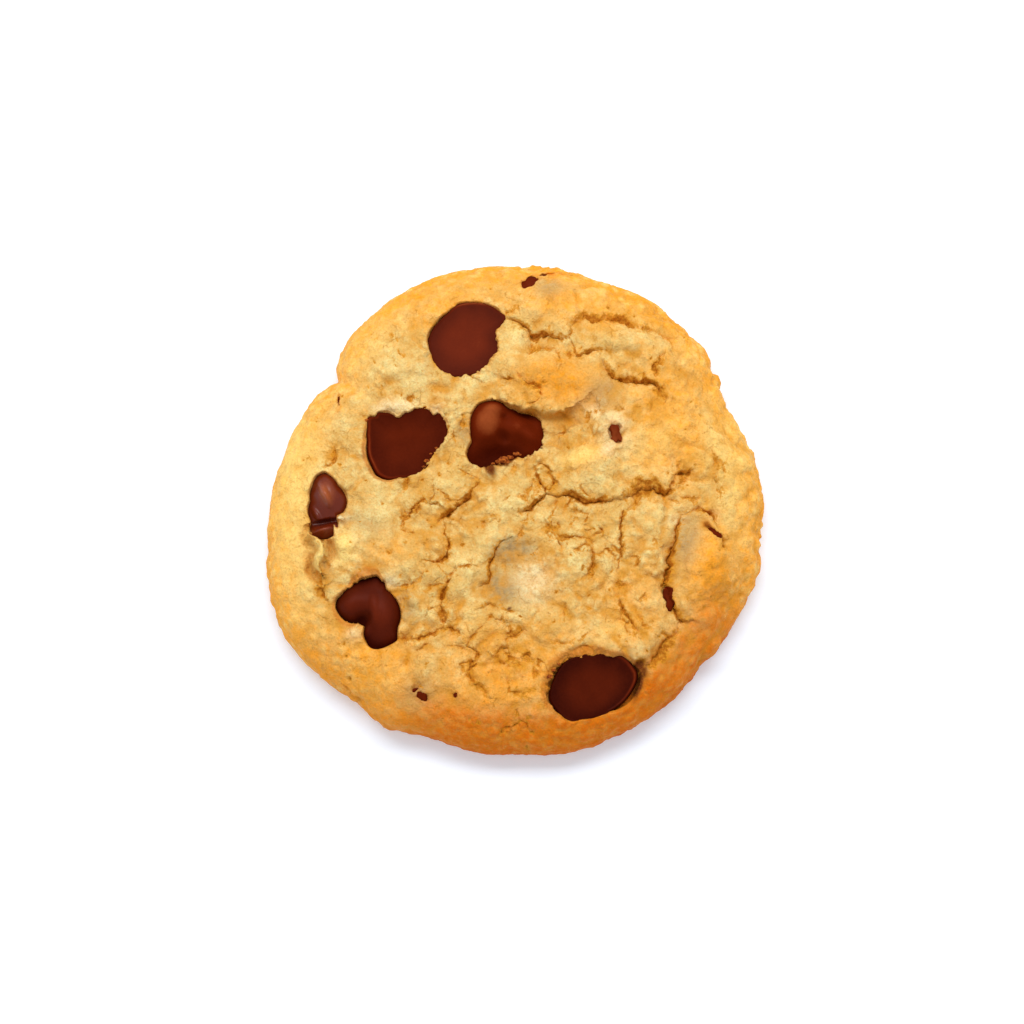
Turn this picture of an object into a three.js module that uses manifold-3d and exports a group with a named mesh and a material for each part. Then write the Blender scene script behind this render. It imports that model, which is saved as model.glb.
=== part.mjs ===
// A soft, thick chocolate chip cookie, about 70 mm across, lying on its flat base with its baked top up.
// Millimetres, +Z up. The origin is at the middle of the base, +X is the right of the top face, and +Y its
// far side. The dough is one body: a round drop that spread unevenly, with a puffed edge, a low crown, hills
// over buried chips, cracks between the plates of its crust, and open pockets. Each chocolate chip that
// shows is a body of its own that sits in a pocket with a small gap all round.
import * as THREE from "three";
import { mergeVertices } from "three/addons/utils/BufferGeometryUtils.js";
import { ImprovedNoise } from "three/addons/math/ImprovedNoise.js";
import Module from "manifold-3d";

const wasm = await Module();
wasm.setup();

// Driving dimensions
const WIDTH = 69.3;
const LENGTH = 70.1;
const MIDDLE = [0.4, -0.2]; // of the ellipse that the lobes are added to
const WIDEST_AT = 2.6; // height of the widest line above the base
const UNDERCUT = 1.7; // how far the flat base stays inside the widest line
const EDGE_RISE = 7.6; // from the widest line up to the shoulder
const EDGE_REACH = 9.5; // from the outline in to the shoulder
const CROWN = 1.5; // rise from the shoulder to the middle
const CHIP_GAP = 0.3;
const SKY = 10; // pockets are open this far above their chips

// Mesh fineness
const TOP_RINGS = 33;
const UNDER_RINGS = 3;

// Lobes and notches of the outline: where, how far out or in, and how wide, in degrees. Dough that ran
// from two sides met in a sharp notch.
const LOBES = [
  { at: 24, out: -1.4, spread: 6 },
  { at: 31, out: -0.3, spread: 4 },
  { at: 55, out: 0.8, spread: 8 },
  { at: 80, out: 0.7, spread: 4 },
  { at: 109, out: 0.8, spread: 13 },
  { at: 144.5, out: -3, spread: 5.5, sharp: true },
  { at: 157, out: -0.9, spread: 9 },
  { at: 206, out: 2.5, spread: 14 },
  { at: 239, out: 0.8, spread: 3.5 },
  { at: 250, out: -0.6, spread: 6 },
  { at: 267, out: -0.5, spread: 6 },
  { at: 298, out: -0.3, spread: 12 },
  { at: 321, out: -0.8, spread: 7 },
  { at: 333, out: -0.4, spread: 4 },
];

// Hills, which rise, and hollows, whose rise is below 0
const HILLS = [
  { name: "swell between the left chips", x: -17.5, y: 19, long: 9, short: 6, turn: 50, rise: 0.6 },
  { name: "ridge between two chips", x: -8.3, y: 12.6, long: 5.5, short: 2.6, turn: 75, rise: 0.9 },
  { name: "plate that hangs over the valley", x: 3.2, y: 17.8, long: 8.5, short: 5.5, turn: -8, rise: 1.5 },
  { name: "valley", x: 1.8, y: 9.5, long: 10, short: 4.2, turn: 0, rise: -2.6 },
  { name: "lump below the valley", x: 10, y: 4.6, long: 6.6, short: 4.2, turn: 8, rise: 1.1 },
  { name: "hill over a chip", x: 14.4, y: 11, long: 7, short: 6, turn: 60, rise: 1.4 },
  { name: "right plate", x: 21.5, y: 10, long: 7.5, short: 5.5, turn: 80, rise: 0.7 },
  { name: "upper right plate", x: 14.5, y: 22.8, long: 7, short: 3.6, turn: -15, rise: 0.6 },
  { name: "upper middle plate", x: 3.8, y: 26.8, long: 6, short: 3.4, turn: 0, rise: 0.5 },
  { name: "mound at the right edge", x: 26.6, y: -10.5, long: 8.6, short: 5.6, turn: 75, rise: 2 },
  { name: "plate left of the right mound", x: 18.2, y: -8, long: 8, short: 3.8, turn: 85, rise: 0.6 },
  { name: "dent in the middle", x: 0.9, y: -9.4, long: 5.5, short: 4.5, turn: 60, rise: -0.9 },
  { name: "plate left of the middle", x: -16.8, y: -6.8, long: 6, short: 4.5, turn: 0, rise: 0.6 },
  { name: "lump between the left chips", x: -23.6, y: -8.6, long: 3.4, short: 2.4, turn: -30, rise: 0.8 },
  { name: "lower left swell", x: -16.5, y: -26.5, long: 8, short: 4.5, turn: -35, rise: 0.7 },
  { name: "wall above the lower chip", x: 10.8, y: -20, long: 6.5, short: 2, turn: 2, rise: 0.6 },
];

// Cracks of the crust, each along a short route, narrowing to its ends
const CRACKS = [
  {
    name: "upper arc", width: 1.5, depth: 1.2,
    route: [[-1.2, 25.8], [2.3, 23.2], [7.3, 23.2], [9.5, 26.4], [15.5, 26.2], [23, 23.3]],
  },
  {
    name: "second arc", width: 1.5, depth: 1.2,
    route: [[7.3, 23.2], [9, 20.7], [11.8, 20.2], [13.5, 17.2], [18.6, 16.4], [21.7, 14.2]],
  },
  {
    name: "branch of the second arc", width: 1.2, depth: 0.9,
    route: [[19.4, 16.7], [19.2, 18.6], [21.2, 21.3]],
  },
  {
    name: "short crack at the valley", width: 1.5, depth: 1.4,
    route: [[2.9, 4.6], [4.2, 0.8], [2, -1.1], [0.7, -1.7]],
  },
  {
    name: "main crack", width: 2, depth: 2.1,
    route: [[4.2, 0.8], [8.4, 0.6], [10.5, -0.4], [14.3, 0.3], [17.5, 1.7], [20.9, 0.9], [24.2, 4.3]],
  },
  {
    name: "hooked crack", width: 1.4, depth: 1,
    route: [[-11.3, 2.5], [-12, -0.3], [-15.3, -2.6], [-14.2, -4.5]],
  },
  {
    name: "crack left of the middle", width: 1.5, depth: 1.3,
    route: [[-4.9, 2.8], [-6.8, -0.1], [-10.5, -2.6], [-9.4, -6.2], [-12.4, -8.6]],
  },
  {
    name: "crack to the lobed chip", width: 1.6, depth: 1.4,
    route: [[-8, -9.4], [-10, -13], [-9.8, -17.6], [-12.5, -19], [-15.6, -19.4]],
  },
  {
    name: "lower crack", width: 1.4, depth: 1,
    route: [[-9.8, -17.9], [-5.2, -20.9], [-6.7, -23.6], [-4.6, -26], [-2.8, -27.5]],
  },
  {
    name: "crack round the dent", width: 1.3, depth: 1,
    route: [[-0.5, -5.4], [-2.9, -8], [-3.2, -10.2], [-4.8, -11.9]],
  },
  {
    name: "crack right of the dent", width: 1.3, depth: 1,
    route: [[4, -3.1], [6, -5], [10.4, -5.6], [11, -11.3]],
  },
  {
    name: "cross crack", width: 1.4, depth: 1.1,
    route: [[16.5, -0.6], [14.3, -3], [14.5, -9.5], [14.9, -15.7], [16.9, -18.4]],
  },
  {
    name: "foot of the right mound", width: 2, depth: 2,
    route: [[24.9, -1.4], [22.6, -2.6], [22.1, -6.4], [20.8, -11.9], [21.9, -15.6], [24.5, -16.9]],
  },
  {
    name: "head of the right mound", width: 1.7, depth: 1.5,
    route: [[24.9, -1.4], [27, -2.4], [28.6, -5], [30, -7]],
  },
  { name: "right edge groove", width: 1.8, depth: 0.9, route: [[27.6, 8.4], [27.9, 4.3], [28.3, -0.7]] },
  {
    name: "step above the lower right edge", width: 1.8, depth: 1.2,
    route: [[23, -16.9], [21.3, -19.4], [17.6, -23.2]],
  },
  {
    name: "upper left edge groove", width: 1.8, depth: 1.1,
    route: [[-25.6, 8.3], [-25.1, 6.6], [-26.6, 4.4]],
  },
  {
    name: "left edge groove", width: 1.8, depth: 1.2,
    route: [[-28.9, -6.2], [-27.3, -10.4], [-25.3, -14.6]],
  },
];

// Uneven bumps all over the top
const BUMPS = [{ size: 3.6, rise: 0.3 }, { size: 1.7, rise: 0.18 }];

const noise = new ImprovedNoise();
const radians = THREE.MathUtils.degToRad;
const smooth = (t) => THREE.MathUtils.smoothstep(t, 0, 1);

// Distance from the ellipse's middle to the outline, at a direction in radians
function outlineRadius(angle) {
  const ellipse = 1 / Math.hypot(Math.cos(angle) / (WIDTH / 2), Math.sin(angle) / (LENGTH / 2));
  return LOBES.reduce((radius, { at, out, spread, sharp }) => {
    const away = THREE.MathUtils.euclideanModulo(THREE.MathUtils.radToDeg(angle) - at + 180, 360) - 180;
    const fall = sharp ? Math.abs(away / spread) : 0.5 * (away / spread) ** 2;
    return radius + out * Math.exp(-fall);
  }, ellipse);
}

// 1 at the middle of a hill, falling smoothly to 0 at its foot
function hillShare(hill, x, y) {
  const turn = radians(hill.turn);
  const along = (x - hill.x) * Math.cos(turn) + (y - hill.y) * Math.sin(turn);
  const across = (y - hill.y) * Math.cos(turn) - (x - hill.x) * Math.sin(turn);
  return smooth(1 - Math.hypot(along / hill.long, across / hill.short));
}

// The nearest point of a crack's route, its distance, and how far along it lies, from 0 to 1
function nearestOnRoute(route, x, y) {
  let best = { distance: Infinity };
  route.slice(1).forEach(([bx, by], i) => {
    const [ax, ay] = route[i];
    const [ex, ey] = [bx - ax, by - ay];
    const t = THREE.MathUtils.clamp(((x - ax) * ex + (y - ay) * ey) / (ex * ex + ey * ey), 0, 1);
    const [px, py] = [ax + t * ex, ay + t * ey];
    const distance = Math.hypot(x - px, y - py);
    if (distance < best.distance) {
      best = { distance, px, py, share: (i + t) / (route.length - 1) };
    }
  });
  return best;
}

// Cracks wander, so their straight routes are read through a small sideways shift
function wander(x, y) {
  const reach = 0.7;
  const size = 2.6;
  return [x + reach * noise.noise(x / size, y / size, 3.1), y + reach * noise.noise(x / size, y / size, 7.7)];
}

function crackDepth(x, y) {
  const [wx, wy] = wander(x, y);
  return CRACKS.reduce((deepest, { route, width, depth }) => {
    const near = nearestOnRoute(route, wx, wy);
    const taper = 0.35 + 0.65 * Math.sin(Math.PI * THREE.MathUtils.clamp(near.share, 0.05, 0.95));
    return Math.max(deepest, depth * taper * smooth(1 - near.distance / width));
  }, 0);
}

// Height of the dough's top over a point that lies at a share of the way from the middle to the outline
function topHeight(x, y) {
  const [dx, dy] = [x - MIDDLE[0], y - MIDDLE[1]];
  const radius = outlineRadius(Math.atan2(dy, dx));
  const inset = Math.max(0, radius - Math.hypot(dx, dy));
  const shoulder = Math.sqrt(1 - (1 - Math.min(inset / EDGE_REACH, 1)) ** 2);
  const crown = CROWN * (1 - (1 - inset / radius) ** 2) * shoulder;
  const hills = HILLS.reduce((sum, hill) => sum + hill.rise * hillShare(hill, x, y), 0);
  const bumps = BUMPS.reduce((sum, { size, rise }) => sum + rise * noise.noise(x / size, y / size, size), 0);
  return WIDEST_AT + EDGE_RISE * shoulder + crown + shoulder * (hills + bumps - crackDepth(x, y));
}

// Rings of the top lie an equal way apart over the crown and down the curve of the edge
function ringInset(ring, radius) {
  const curve = (Math.PI / 2) * Math.sqrt((EDGE_REACH ** 2 + EDGE_RISE ** 2) / 2);
  const flat = radius - EDGE_REACH;
  const along = (ring / TOP_RINGS) * (flat + curve);
  if (along <= flat) {
    return radius - along;
  }
  return EDGE_REACH * (1 - Math.sin((Math.PI / 2) * ((along - flat) / curve)));
}

// Each point near a crack is drawn towards its middle, so that the folds of the mesh follow the crack
function drawnToCracks(x, y) {
  const reach = 1.5;
  const pull = 0.55;
  const [wx, wy] = wander(x, y);
  let nearest = { distance: Infinity };
  for (const { route } of CRACKS) {
    const near = nearestOnRoute(route, wx, wy);
    nearest = near.distance < nearest.distance ? near : nearest;
  }
  if (nearest.distance >= reach) {
    return [x, y];
  }
  const share = pull * (1 - nearest.distance / reach);
  return [x + (nearest.px - wx) * share, y + (nearest.py - wy) * share];
}

// A place that lies out from the ellipse's middle
function placeAt(out, angle) {
  return [MIDDLE[0] + out * Math.cos(angle), MIDDLE[1] + out * Math.sin(angle)];
}

// The whole dough before its pockets are cut: rings of 6, 12, 18 ... points on top, then the undercut and
// the base
function doughGeometry() {
  const points = [[...MIDDLE, topHeight(...MIDDLE)]];
  const faces = [];
  const ringStart = (ring) => 1 + 3 * ring * (ring - 1);
  for (let ring = 1; ring <= TOP_RINGS; ring++) {
    for (let i = 0; i < 6 * ring; i++) {
      const angle = (2 * Math.PI * i) / (6 * ring);
      const radius = outlineRadius(angle);
      const out = radius - ringInset(ring, radius);
      const [x, y] = drawnToCracks(...placeAt(out, angle));
      points.push([x, y, ring === TOP_RINGS ? WIDEST_AT : topHeight(x, y)]);
    }
  }
  for (let ring = 1; ring <= TOP_RINGS; ring++) {
    const inner = (i) => (ring === 1 ? 0 : ringStart(ring - 1) + (i % (6 * (ring - 1))));
    const outer = (i) => ringStart(ring) + (i % (6 * ring));
    for (let side = 0; side < 6; side++) {
      for (let i = 0; i < ring; i++) {
        const out = side * ring + i;
        const back = side * (ring - 1) + i;
        faces.push([outer(out), outer(out + 1), inner(back)]);
        if (i < ring - 1) {
          faces.push([inner(back), outer(out + 1), inner(back + 1)]);
        }
      }
    }
  }
  const around = 6 * TOP_RINGS;
  let above = ringStart(TOP_RINGS);
  for (let ring = 1; ring <= UNDER_RINGS; ring++) {
    const down = (Math.PI / 2) * (ring / UNDER_RINGS);
    const below = points.length;
    for (let i = 0; i < around; i++) {
      const angle = (2 * Math.PI * i) / around;
      const out = outlineRadius(angle) - UNDERCUT * (1 - Math.cos(down));
      points.push([...placeAt(out, angle), WIDEST_AT * (1 - Math.sin(down))]);
    }
    for (let i = 0; i < around; i++) {
      const next = (i + 1) % around;
      faces.push([above + i, below + i, below + next], [above + i, below + next, above + next]);
    }
    above = below;
  }
  const middle = points.push([...MIDDLE, 0]) - 1;
  for (let i = 0; i < around; i++) {
    faces.push([above + i, middle, above + ((i + 1) % around)]);
  }
  const geometry = new THREE.BufferGeometry();
  geometry.setAttribute("position", new THREE.Float32BufferAttribute(points.flat(), 3));
  geometry.setIndex(faces.flat());
  return geometry;
}

// A closed geometry as a solid for cutting and joining
function solidOf(geometry) {
  const bare = geometry.clone();
  bare.deleteAttribute("normal");
  bare.deleteAttribute("uv");
  const merged = mergeVertices(bare, 1e-4);
  const vertProperties = merged.attributes.position.array;
  const triVerts = new Uint32Array(merged.index.array);
  return new wasm.Manifold(new wasm.Mesh({ numProp: 3, vertProperties, triVerts }));
}

function geometryOf(solid) {
  const mesh = solid.getMesh();
  const geometry = new THREE.BufferGeometry();
  geometry.setAttribute("position", new THREE.Float32BufferAttribute(mesh.vertProperties, 3));
  geometry.setIndex(new THREE.BufferAttribute(mesh.triVerts, 1));
  geometry.computeVertexNormals();
  return geometry;
}

// A chip seen from its flat base: a shallow dish with a rounded rim, and the drop's cone below it
function dropGeometry({ long, short, depth }, grow) {
  const [r, across] = [long / 2 + grow, short / 2 + grow];
  const profile = [
    [0, -depth - grow], [0.36 * r, -0.82 * depth - grow], [0.76 * r, -0.42 * depth - grow],
    [r, -0.9], [0.97 * r, -0.3 + grow / 2], [0.88 * r, grow], [0.55 * r, grow - 0.1], [0, grow - 0.14],
  ];
  const geometry = new THREE.LatheGeometry(profile.map(([x, z]) => new THREE.Vector2(x, z)), 20);
  return geometry.rotateX(Math.PI / 2).scale(1, across / r, 1);
}

// A melted chip that lies on its side is made of rounded lumps run together
function lumpGeometry({ long, short, high, turn = 0, x = 0, y = 0, z = 0 }, grow, fineness) {
  return new THREE.IcosahedronGeometry(1, fineness)
    .scale(long / 2 + grow, short / 2 + grow, high / 2 + grow)
    .rotateZ(radians(turn))
    .translate(x, y, z);
}

// The convex pieces of each form of chip; a splinter is the tip of a chip that is otherwise in the dough
const FORMS = {
  drop: (chip, grow) => [dropGeometry(chip, grow)],
  lumps: (chip, grow) => chip.lumps.map((lump) => lumpGeometry(lump, grow, 2)),
  splinter: ({ long, short, high }, grow) => [lumpGeometry({ long, short, high, z: -high / 2 }, grow, 1)],
};

// The chips that show. sunk is how far the chip's top lies under the dough around it; lean tips it away from
// upright, towards a direction; lips are tongues of dough that lie over its edge.
const CHIPS = [
  {
    name: "chip_disc_upper", form: "drop", x: -7.4, y: 22.9, long: 10.8, short: 10.2, depth: 4.6, turn: 45,
    sunk: 0.9, lean: 5, towards: 100,
  },
  {
    name: "chip_disc_middle", form: "drop", x: -15, y: 7.6, long: 12.4, short: 9.8, depth: 4.6, turn: 36,
    sunk: 1, lean: 4, towards: 120, lips: [{ x: -2, y: 5.6, radius: 2.6 }, { x: 4.4, y: 5.2, radius: 1.4 }],
  },
  {
    name: "chip_lump_valley", form: "lumps", x: -1.6, y: 9.2, sunk: 0.1,
    lumps: [
      { x: -1.6, y: 0, z: -1.5, long: 9.2, short: 7.4, high: 5.6, turn: 70 },
      { x: 2.4, y: 0.2, z: -1.3, long: 6, short: 5.6, high: 4.4, turn: 20 },
      { x: -0.9, y: 2.5, z: -0.6, long: 5, short: 4.2, high: 3.6 },
    ],
  },
  {
    name: "chip_cone_left", form: "lumps", x: -25.9, y: -0.5, sunk: 0.4,
    lumps: [
      { x: 0, y: 1.3, z: -1.4, long: 7.2, short: 5, high: 4.4, turn: 80 },
      { x: -0.4, y: -3.4, z: -1.4, long: 4.2, short: 3.4, high: 3.4, turn: 12 },
    ],
    lips: [{ x: 2.6, y: -2.2, radius: 1.2 }],
  },
  {
    name: "chip_lobed_left", form: "lumps", x: -20, y: -15.4, sunk: 0.5,
    lumps: [
      { x: -1.2, y: 1.5, z: -1.4, long: 7.6, short: 6, high: 4.6, turn: 25 },
      { x: 1.7, y: -0.4, z: -1.4, long: 9.8, short: 5.4, high: 4.8, turn: 100 },
    ],
    lips: [{ x: 4.8, y: 3.6, radius: 2 }],
  },
  {
    name: "chip_disc_lower", form: "drop", x: 10.7, y: -25.8, long: 13.4, short: 10, depth: 4.4, turn: 14,
    sunk: 1, lean: 22, towards: 292,
  },
  {
    name: "chip_edge_top", form: "lumps", x: 3.2, y: 31.7, sunk: 0.7, lean: 30, towards: 85,
    lumps: [{ x: 0, y: 0, z: -0.6, long: 6.6, short: 3.2, high: 3, turn: 20 }],
    lips: [{ x: 1.9, y: -1.7, radius: 1.4 }],
  },
  {
    name: "chip_splinter_hill", form: "splinter", x: 13.9, y: 9,
    long: 3.4, short: 2.2, high: 2.2, turn: 110, sunk: 0.1,
  },
  {
    name: "chip_splinter_mound", form: "splinter", x: 21, y: -13.5,
    long: 3.6, short: 1.7, high: 2.2, turn: 98, sunk: 0.1,
  },
  {
    name: "chip_splinter_edge", form: "splinter", x: 27.5, y: -4.4,
    long: 2.8, short: 1.2, high: 2, turn: -35, sunk: 0.1,
  },
  {
    name: "chip_splinter_lower", form: "splinter", x: -13.1, y: -26.8,
    long: 3, short: 1.5, high: 1.8, turn: -45, sunk: 0.1,
  },
  {
    name: "chip_splinter_notch", form: "splinter", x: -24.4, y: 14.3,
    long: 1.9, short: 0.8, high: 1.4, turn: 92, sunk: 0.1,
  },
  {
    name: "chip_fleck_lower", form: "splinter", x: -8.4, y: -26.7,
    long: 1.1, short: 1, high: 1.1, sunk: 0.1,
  },
];

// A chip's own solid in its place, made larger all round by grow, and drawn upwards by lift
function chipInPlace(chip, grow, lift = 0) {
  const towards = radians(chip.towards ?? 0);
  const axis = new THREE.Vector3(-Math.sin(towards), Math.cos(towards), 0);
  const place = new THREE.Matrix4()
    .makeTranslation(chip.x, chip.y, chipLevel(chip))
    .multiply(new THREE.Matrix4().makeRotationAxis(axis, radians(chip.lean ?? 0)))
    .multiply(new THREE.Matrix4().makeRotationZ(radians(chip.turn ?? 0)));
  const pieces = FORMS[chip.form](chip, grow).map((geometry) => solidOf(geometry.applyMatrix4(place)));
  const drawn = (piece) => wasm.Manifold.hull([piece, piece.translate([0, 0, lift])]);
  return (lift ? pieces.map(drawn) : pieces).reduce((whole, piece) => whole.add(piece));
}

// The dough's own height where the chip lies, read round it and without the cracks' small steps
function chipLevel(chip) {
  const reach = (chip.short ?? 7) / 3;
  const around = [0, 90, 180, 270].map((angle) =>
    topHeight(chip.x + reach * Math.cos(radians(angle)), chip.y + reach * Math.sin(radians(angle))),
  );
  return around.reduce((sum, height) => sum + height / around.length, 0) - chip.sunk;
}

// What is taken out of the dough for a chip: its own form with the gap, open upwards, less the lips over it
function pocket(chip) {
  const body = chipInPlace(chip, CHIP_GAP);
  let shaft = chipInPlace(chip, CHIP_GAP, SKY);
  for (const lip of chip.lips ?? []) {
    const tongue = new THREE.CylinderGeometry(lip.radius, lip.radius, 4 * SKY, 16).rotateX(Math.PI / 2);
    shaft = shaft.subtract(solidOf(tongue.translate(chip.x + lip.x, chip.y + lip.y, 0)));
  }
  return body.add(shaft);
}

function mesh(name, solid, finish) {
  const made = new THREE.Mesh(geometryOf(solid), new THREE.MeshStandardMaterial(finish));
  made.name = name;
  return made;
}

const CRUMB = { color: "#e9b96c", roughness: 0.85, metalness: 0 };
const CHOCOLATE = { color: "#5a2412", roughness: 0.4, metalness: 0 };
const cookie = new THREE.Group();
const dough = CHIPS.reduce((whole, chip) => whole.subtract(pocket(chip)), solidOf(doughGeometry()));
cookie.add(mesh("dough", dough, CRUMB));
for (const chip of CHIPS) {
  cookie.add(mesh(chip.name, chipInPlace(chip, 0), CHOCOLATE));
}

// The uneven outline is moved so that the middle of its box is at the origin
const box = new THREE.Box3().setFromObject(cookie);
cookie.position.set(-(box.min.x + box.max.x) / 2, -(box.min.y + box.max.y) / 2, -box.min.z);

const part = new THREE.Group();
part.add(cookie);

export default part;
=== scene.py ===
# %% [markdown]
# # A chocolate chip cookie
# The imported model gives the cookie's size, the place of every chip, and the box that nothing may leave.
# Everything below is fitted to it, in metres. Baked things are easier to think of in millimetres, so shapes
# are worked out in millimetres and turned to metres once, when a mesh gets its points.

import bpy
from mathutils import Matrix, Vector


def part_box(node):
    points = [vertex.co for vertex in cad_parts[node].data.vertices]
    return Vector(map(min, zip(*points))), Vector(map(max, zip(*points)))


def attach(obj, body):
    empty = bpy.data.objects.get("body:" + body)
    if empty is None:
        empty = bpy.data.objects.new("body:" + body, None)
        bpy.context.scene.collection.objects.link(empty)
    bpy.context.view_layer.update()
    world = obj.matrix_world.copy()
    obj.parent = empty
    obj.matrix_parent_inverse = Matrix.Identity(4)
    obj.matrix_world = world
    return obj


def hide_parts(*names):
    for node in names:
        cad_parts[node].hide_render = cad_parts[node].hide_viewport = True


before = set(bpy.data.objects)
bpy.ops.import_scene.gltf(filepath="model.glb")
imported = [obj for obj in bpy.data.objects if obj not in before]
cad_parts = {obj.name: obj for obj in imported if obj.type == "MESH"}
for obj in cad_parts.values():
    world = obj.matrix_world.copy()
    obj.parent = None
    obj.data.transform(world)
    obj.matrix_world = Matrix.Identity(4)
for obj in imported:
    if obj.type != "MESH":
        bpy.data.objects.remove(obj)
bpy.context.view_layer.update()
print("CAD nodes:", ", ".join(sorted(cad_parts)))

# %% [markdown]
# ## Small helpers
# An operator acts on all that is selected, so each piece starts with nothing selected. Colours are written
# as the sRGB hex values that one reads off a screen, and one function turns them linear for the shader.

# %% Helpers
import math

import bpy
import numpy as np
from mathutils import Vector, kdtree, noise

MM = 0.001


def nothing_selected():
    if bpy.context.object and bpy.context.object.mode != "OBJECT":
        bpy.ops.object.mode_set(mode="OBJECT")
    bpy.ops.object.select_all(action="DESELECT")


def linear(hex_colour):
    """An sRGB hex value as a linear colour with alpha."""
    channels = [int(hex_colour[i : i + 2], 16) / 255 for i in (1, 3, 5)]
    return [c / 12.92 if c <= 0.04045 else ((c + 0.055) / 1.055) ** 2.4 for c in channels] + [1.0]


def smooth(t):
    """0 below 0, 1 above 1, and a smooth step between them."""
    t = np.clip(t, 0, 1)
    return t * t * (3 - 2 * t)


def noise_at(x, y, z, size, octaves=1):
    """Noise from about -1 to 1 at each point, with bumps of about the given size."""
    pick = zip(x / size, y / size, z / size)
    if octaves == 1:
        return np.array([noise.noise(p) for p in pick])
    return np.array([noise.fractal(p, 1.0, 2.0, octaves) for p in pick])


def lumps_at(x, y, z, size):
    """Rounded lumps of about the given size: 1 on a lump, and 0 in the creases between lumps."""
    return np.minimum(1, 3.5 * np.abs(noise_at(x, y, z, size)))


def cobbles_at(x, y, z, size):
    """Rounded cobbles of about the given size: 1 on top of each, and 0 where two meet."""
    pick = zip(x / size, y / size, z / size)
    nearest_two = np.array([noise.voronoi(p)[0][:2] for p in pick])
    return smooth(1.5 * (nearest_two[:, 1] - nearest_two[:, 0]))


def bell(value, at, spread):
    """1 where an angle in degrees equals at, falling to 0 to both sides."""
    away = (value - at + 180) % 360 - 180
    return np.exp(-0.5 * (away / spread) ** 2)


print("helpers ready")

# %% [markdown]
# ## Camera
# The photo shows the top face nearly square on, and a little of the edge nearest the viewer, so the camera
# looks down at 80 degrees. A long lens keeps the round outline round. The cookie is 501 pixels wide in a
# frame of 1024, which sets how much the frame takes in.

# %% Camera
FRAME_PX = 1024
MM_PER_PX = 0.14
COOKIE_MIDDLE_PX = (515.5, 511.5)
ELEVATION = math.radians(80)
LENS = 100
SENSOR = 36
LOOK_AT_HEIGHT = 2.6

view_width = FRAME_PX * MM_PER_PX
view_distance = view_width * LENS / SENSOR
aim = Vector((
    -(COOKIE_MIDDLE_PX[0] - FRAME_PX / 2) * MM_PER_PX,
    -0.51,
    LOOK_AT_HEIGHT,
))
back = Vector((0, -math.cos(ELEVATION), math.sin(ELEVATION)))

camera = bpy.data.objects.new("camera", bpy.data.cameras.new("camera"))
bpy.context.scene.collection.objects.link(camera)
camera.data.lens = LENS
camera.data.sensor_width = SENSOR
camera.data.clip_start = 0.01
camera.data.clip_end = 10
camera.location = (aim + back * view_distance) * MM
camera.rotation_mode = "QUATERNION"
camera.rotation_quaternion = (-back).to_track_quat("-Z", "Y")
bpy.context.scene.camera = camera
print(f"camera {view_distance:.0f} mm away takes in {view_width:.0f} mm")

# %% [markdown]
# ## The form of the dough
# A scoop of dough spreads in the oven until its edge sets. The outline is an ellipse with lobes where it ran
# further, hollows where it stopped, and a sharp notch where two lobes met. The edge is puffed, so the top
# curves over to it like a quarter of an ellipse. Hills lie over buried chips, hollows where the dough sank.

# %% Outline
WIDTH = 69.3
LENGTH = 70.1
MIDDLE = (0.4, -0.2)
SKIN = 0.2  # the outline stays this far inside the CAD one, to leave room for bumps

LOBES = [  # direction in degrees, how far out or in, and spread in degrees
    (24, -1.4, 6), (31, -0.3, 4), (55, 0.8, 8), (80, 0.7, 4), (109, 0.8, 13), (157, -0.9, 9), (206, 2.5, 14),
    (239, 0.8, 3.5), (250, -0.6, 6), (267, -0.5, 6), (298, -0.3, 12), (321, -0.8, 7), (333, -0.4, 4),
]
NOTCH_AT = 144.5
NOTCH_DEPTH = 3.0
NOTCH_SPREAD = 5.5


def outline_radius(angle):
    """From the middle of the outline to the outline, at each direction in radians."""
    radius = 1 / np.hypot(np.cos(angle) / (WIDTH / 2), np.sin(angle) / (LENGTH / 2))
    degrees = np.degrees(angle)
    for at, out, spread in LOBES:
        radius = radius + out * bell(degrees, at, spread)
    notch = np.abs((degrees - NOTCH_AT + 180) % 360 - 180)
    return radius - NOTCH_DEPTH * np.exp(-notch / NOTCH_SPREAD) - SKIN


def inset_of(x, y):
    """How far inside the outline each point lies, and the outline's radius there."""
    dx = x - MIDDLE[0]
    dy = y - MIDDLE[1]
    radius = outline_radius(np.arctan2(dy, dx))
    return np.maximum(0, radius - np.hypot(dx, dy)), radius


print("outline from", outline_radius(np.radians(np.arange(360))).min().round(1), "mm out")

# %% Hills and hollows
WIDEST_AT = 2.6
EDGE_RISE = 7.6
EDGE_REACH = 9.5
CROWN = 1.15

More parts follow.
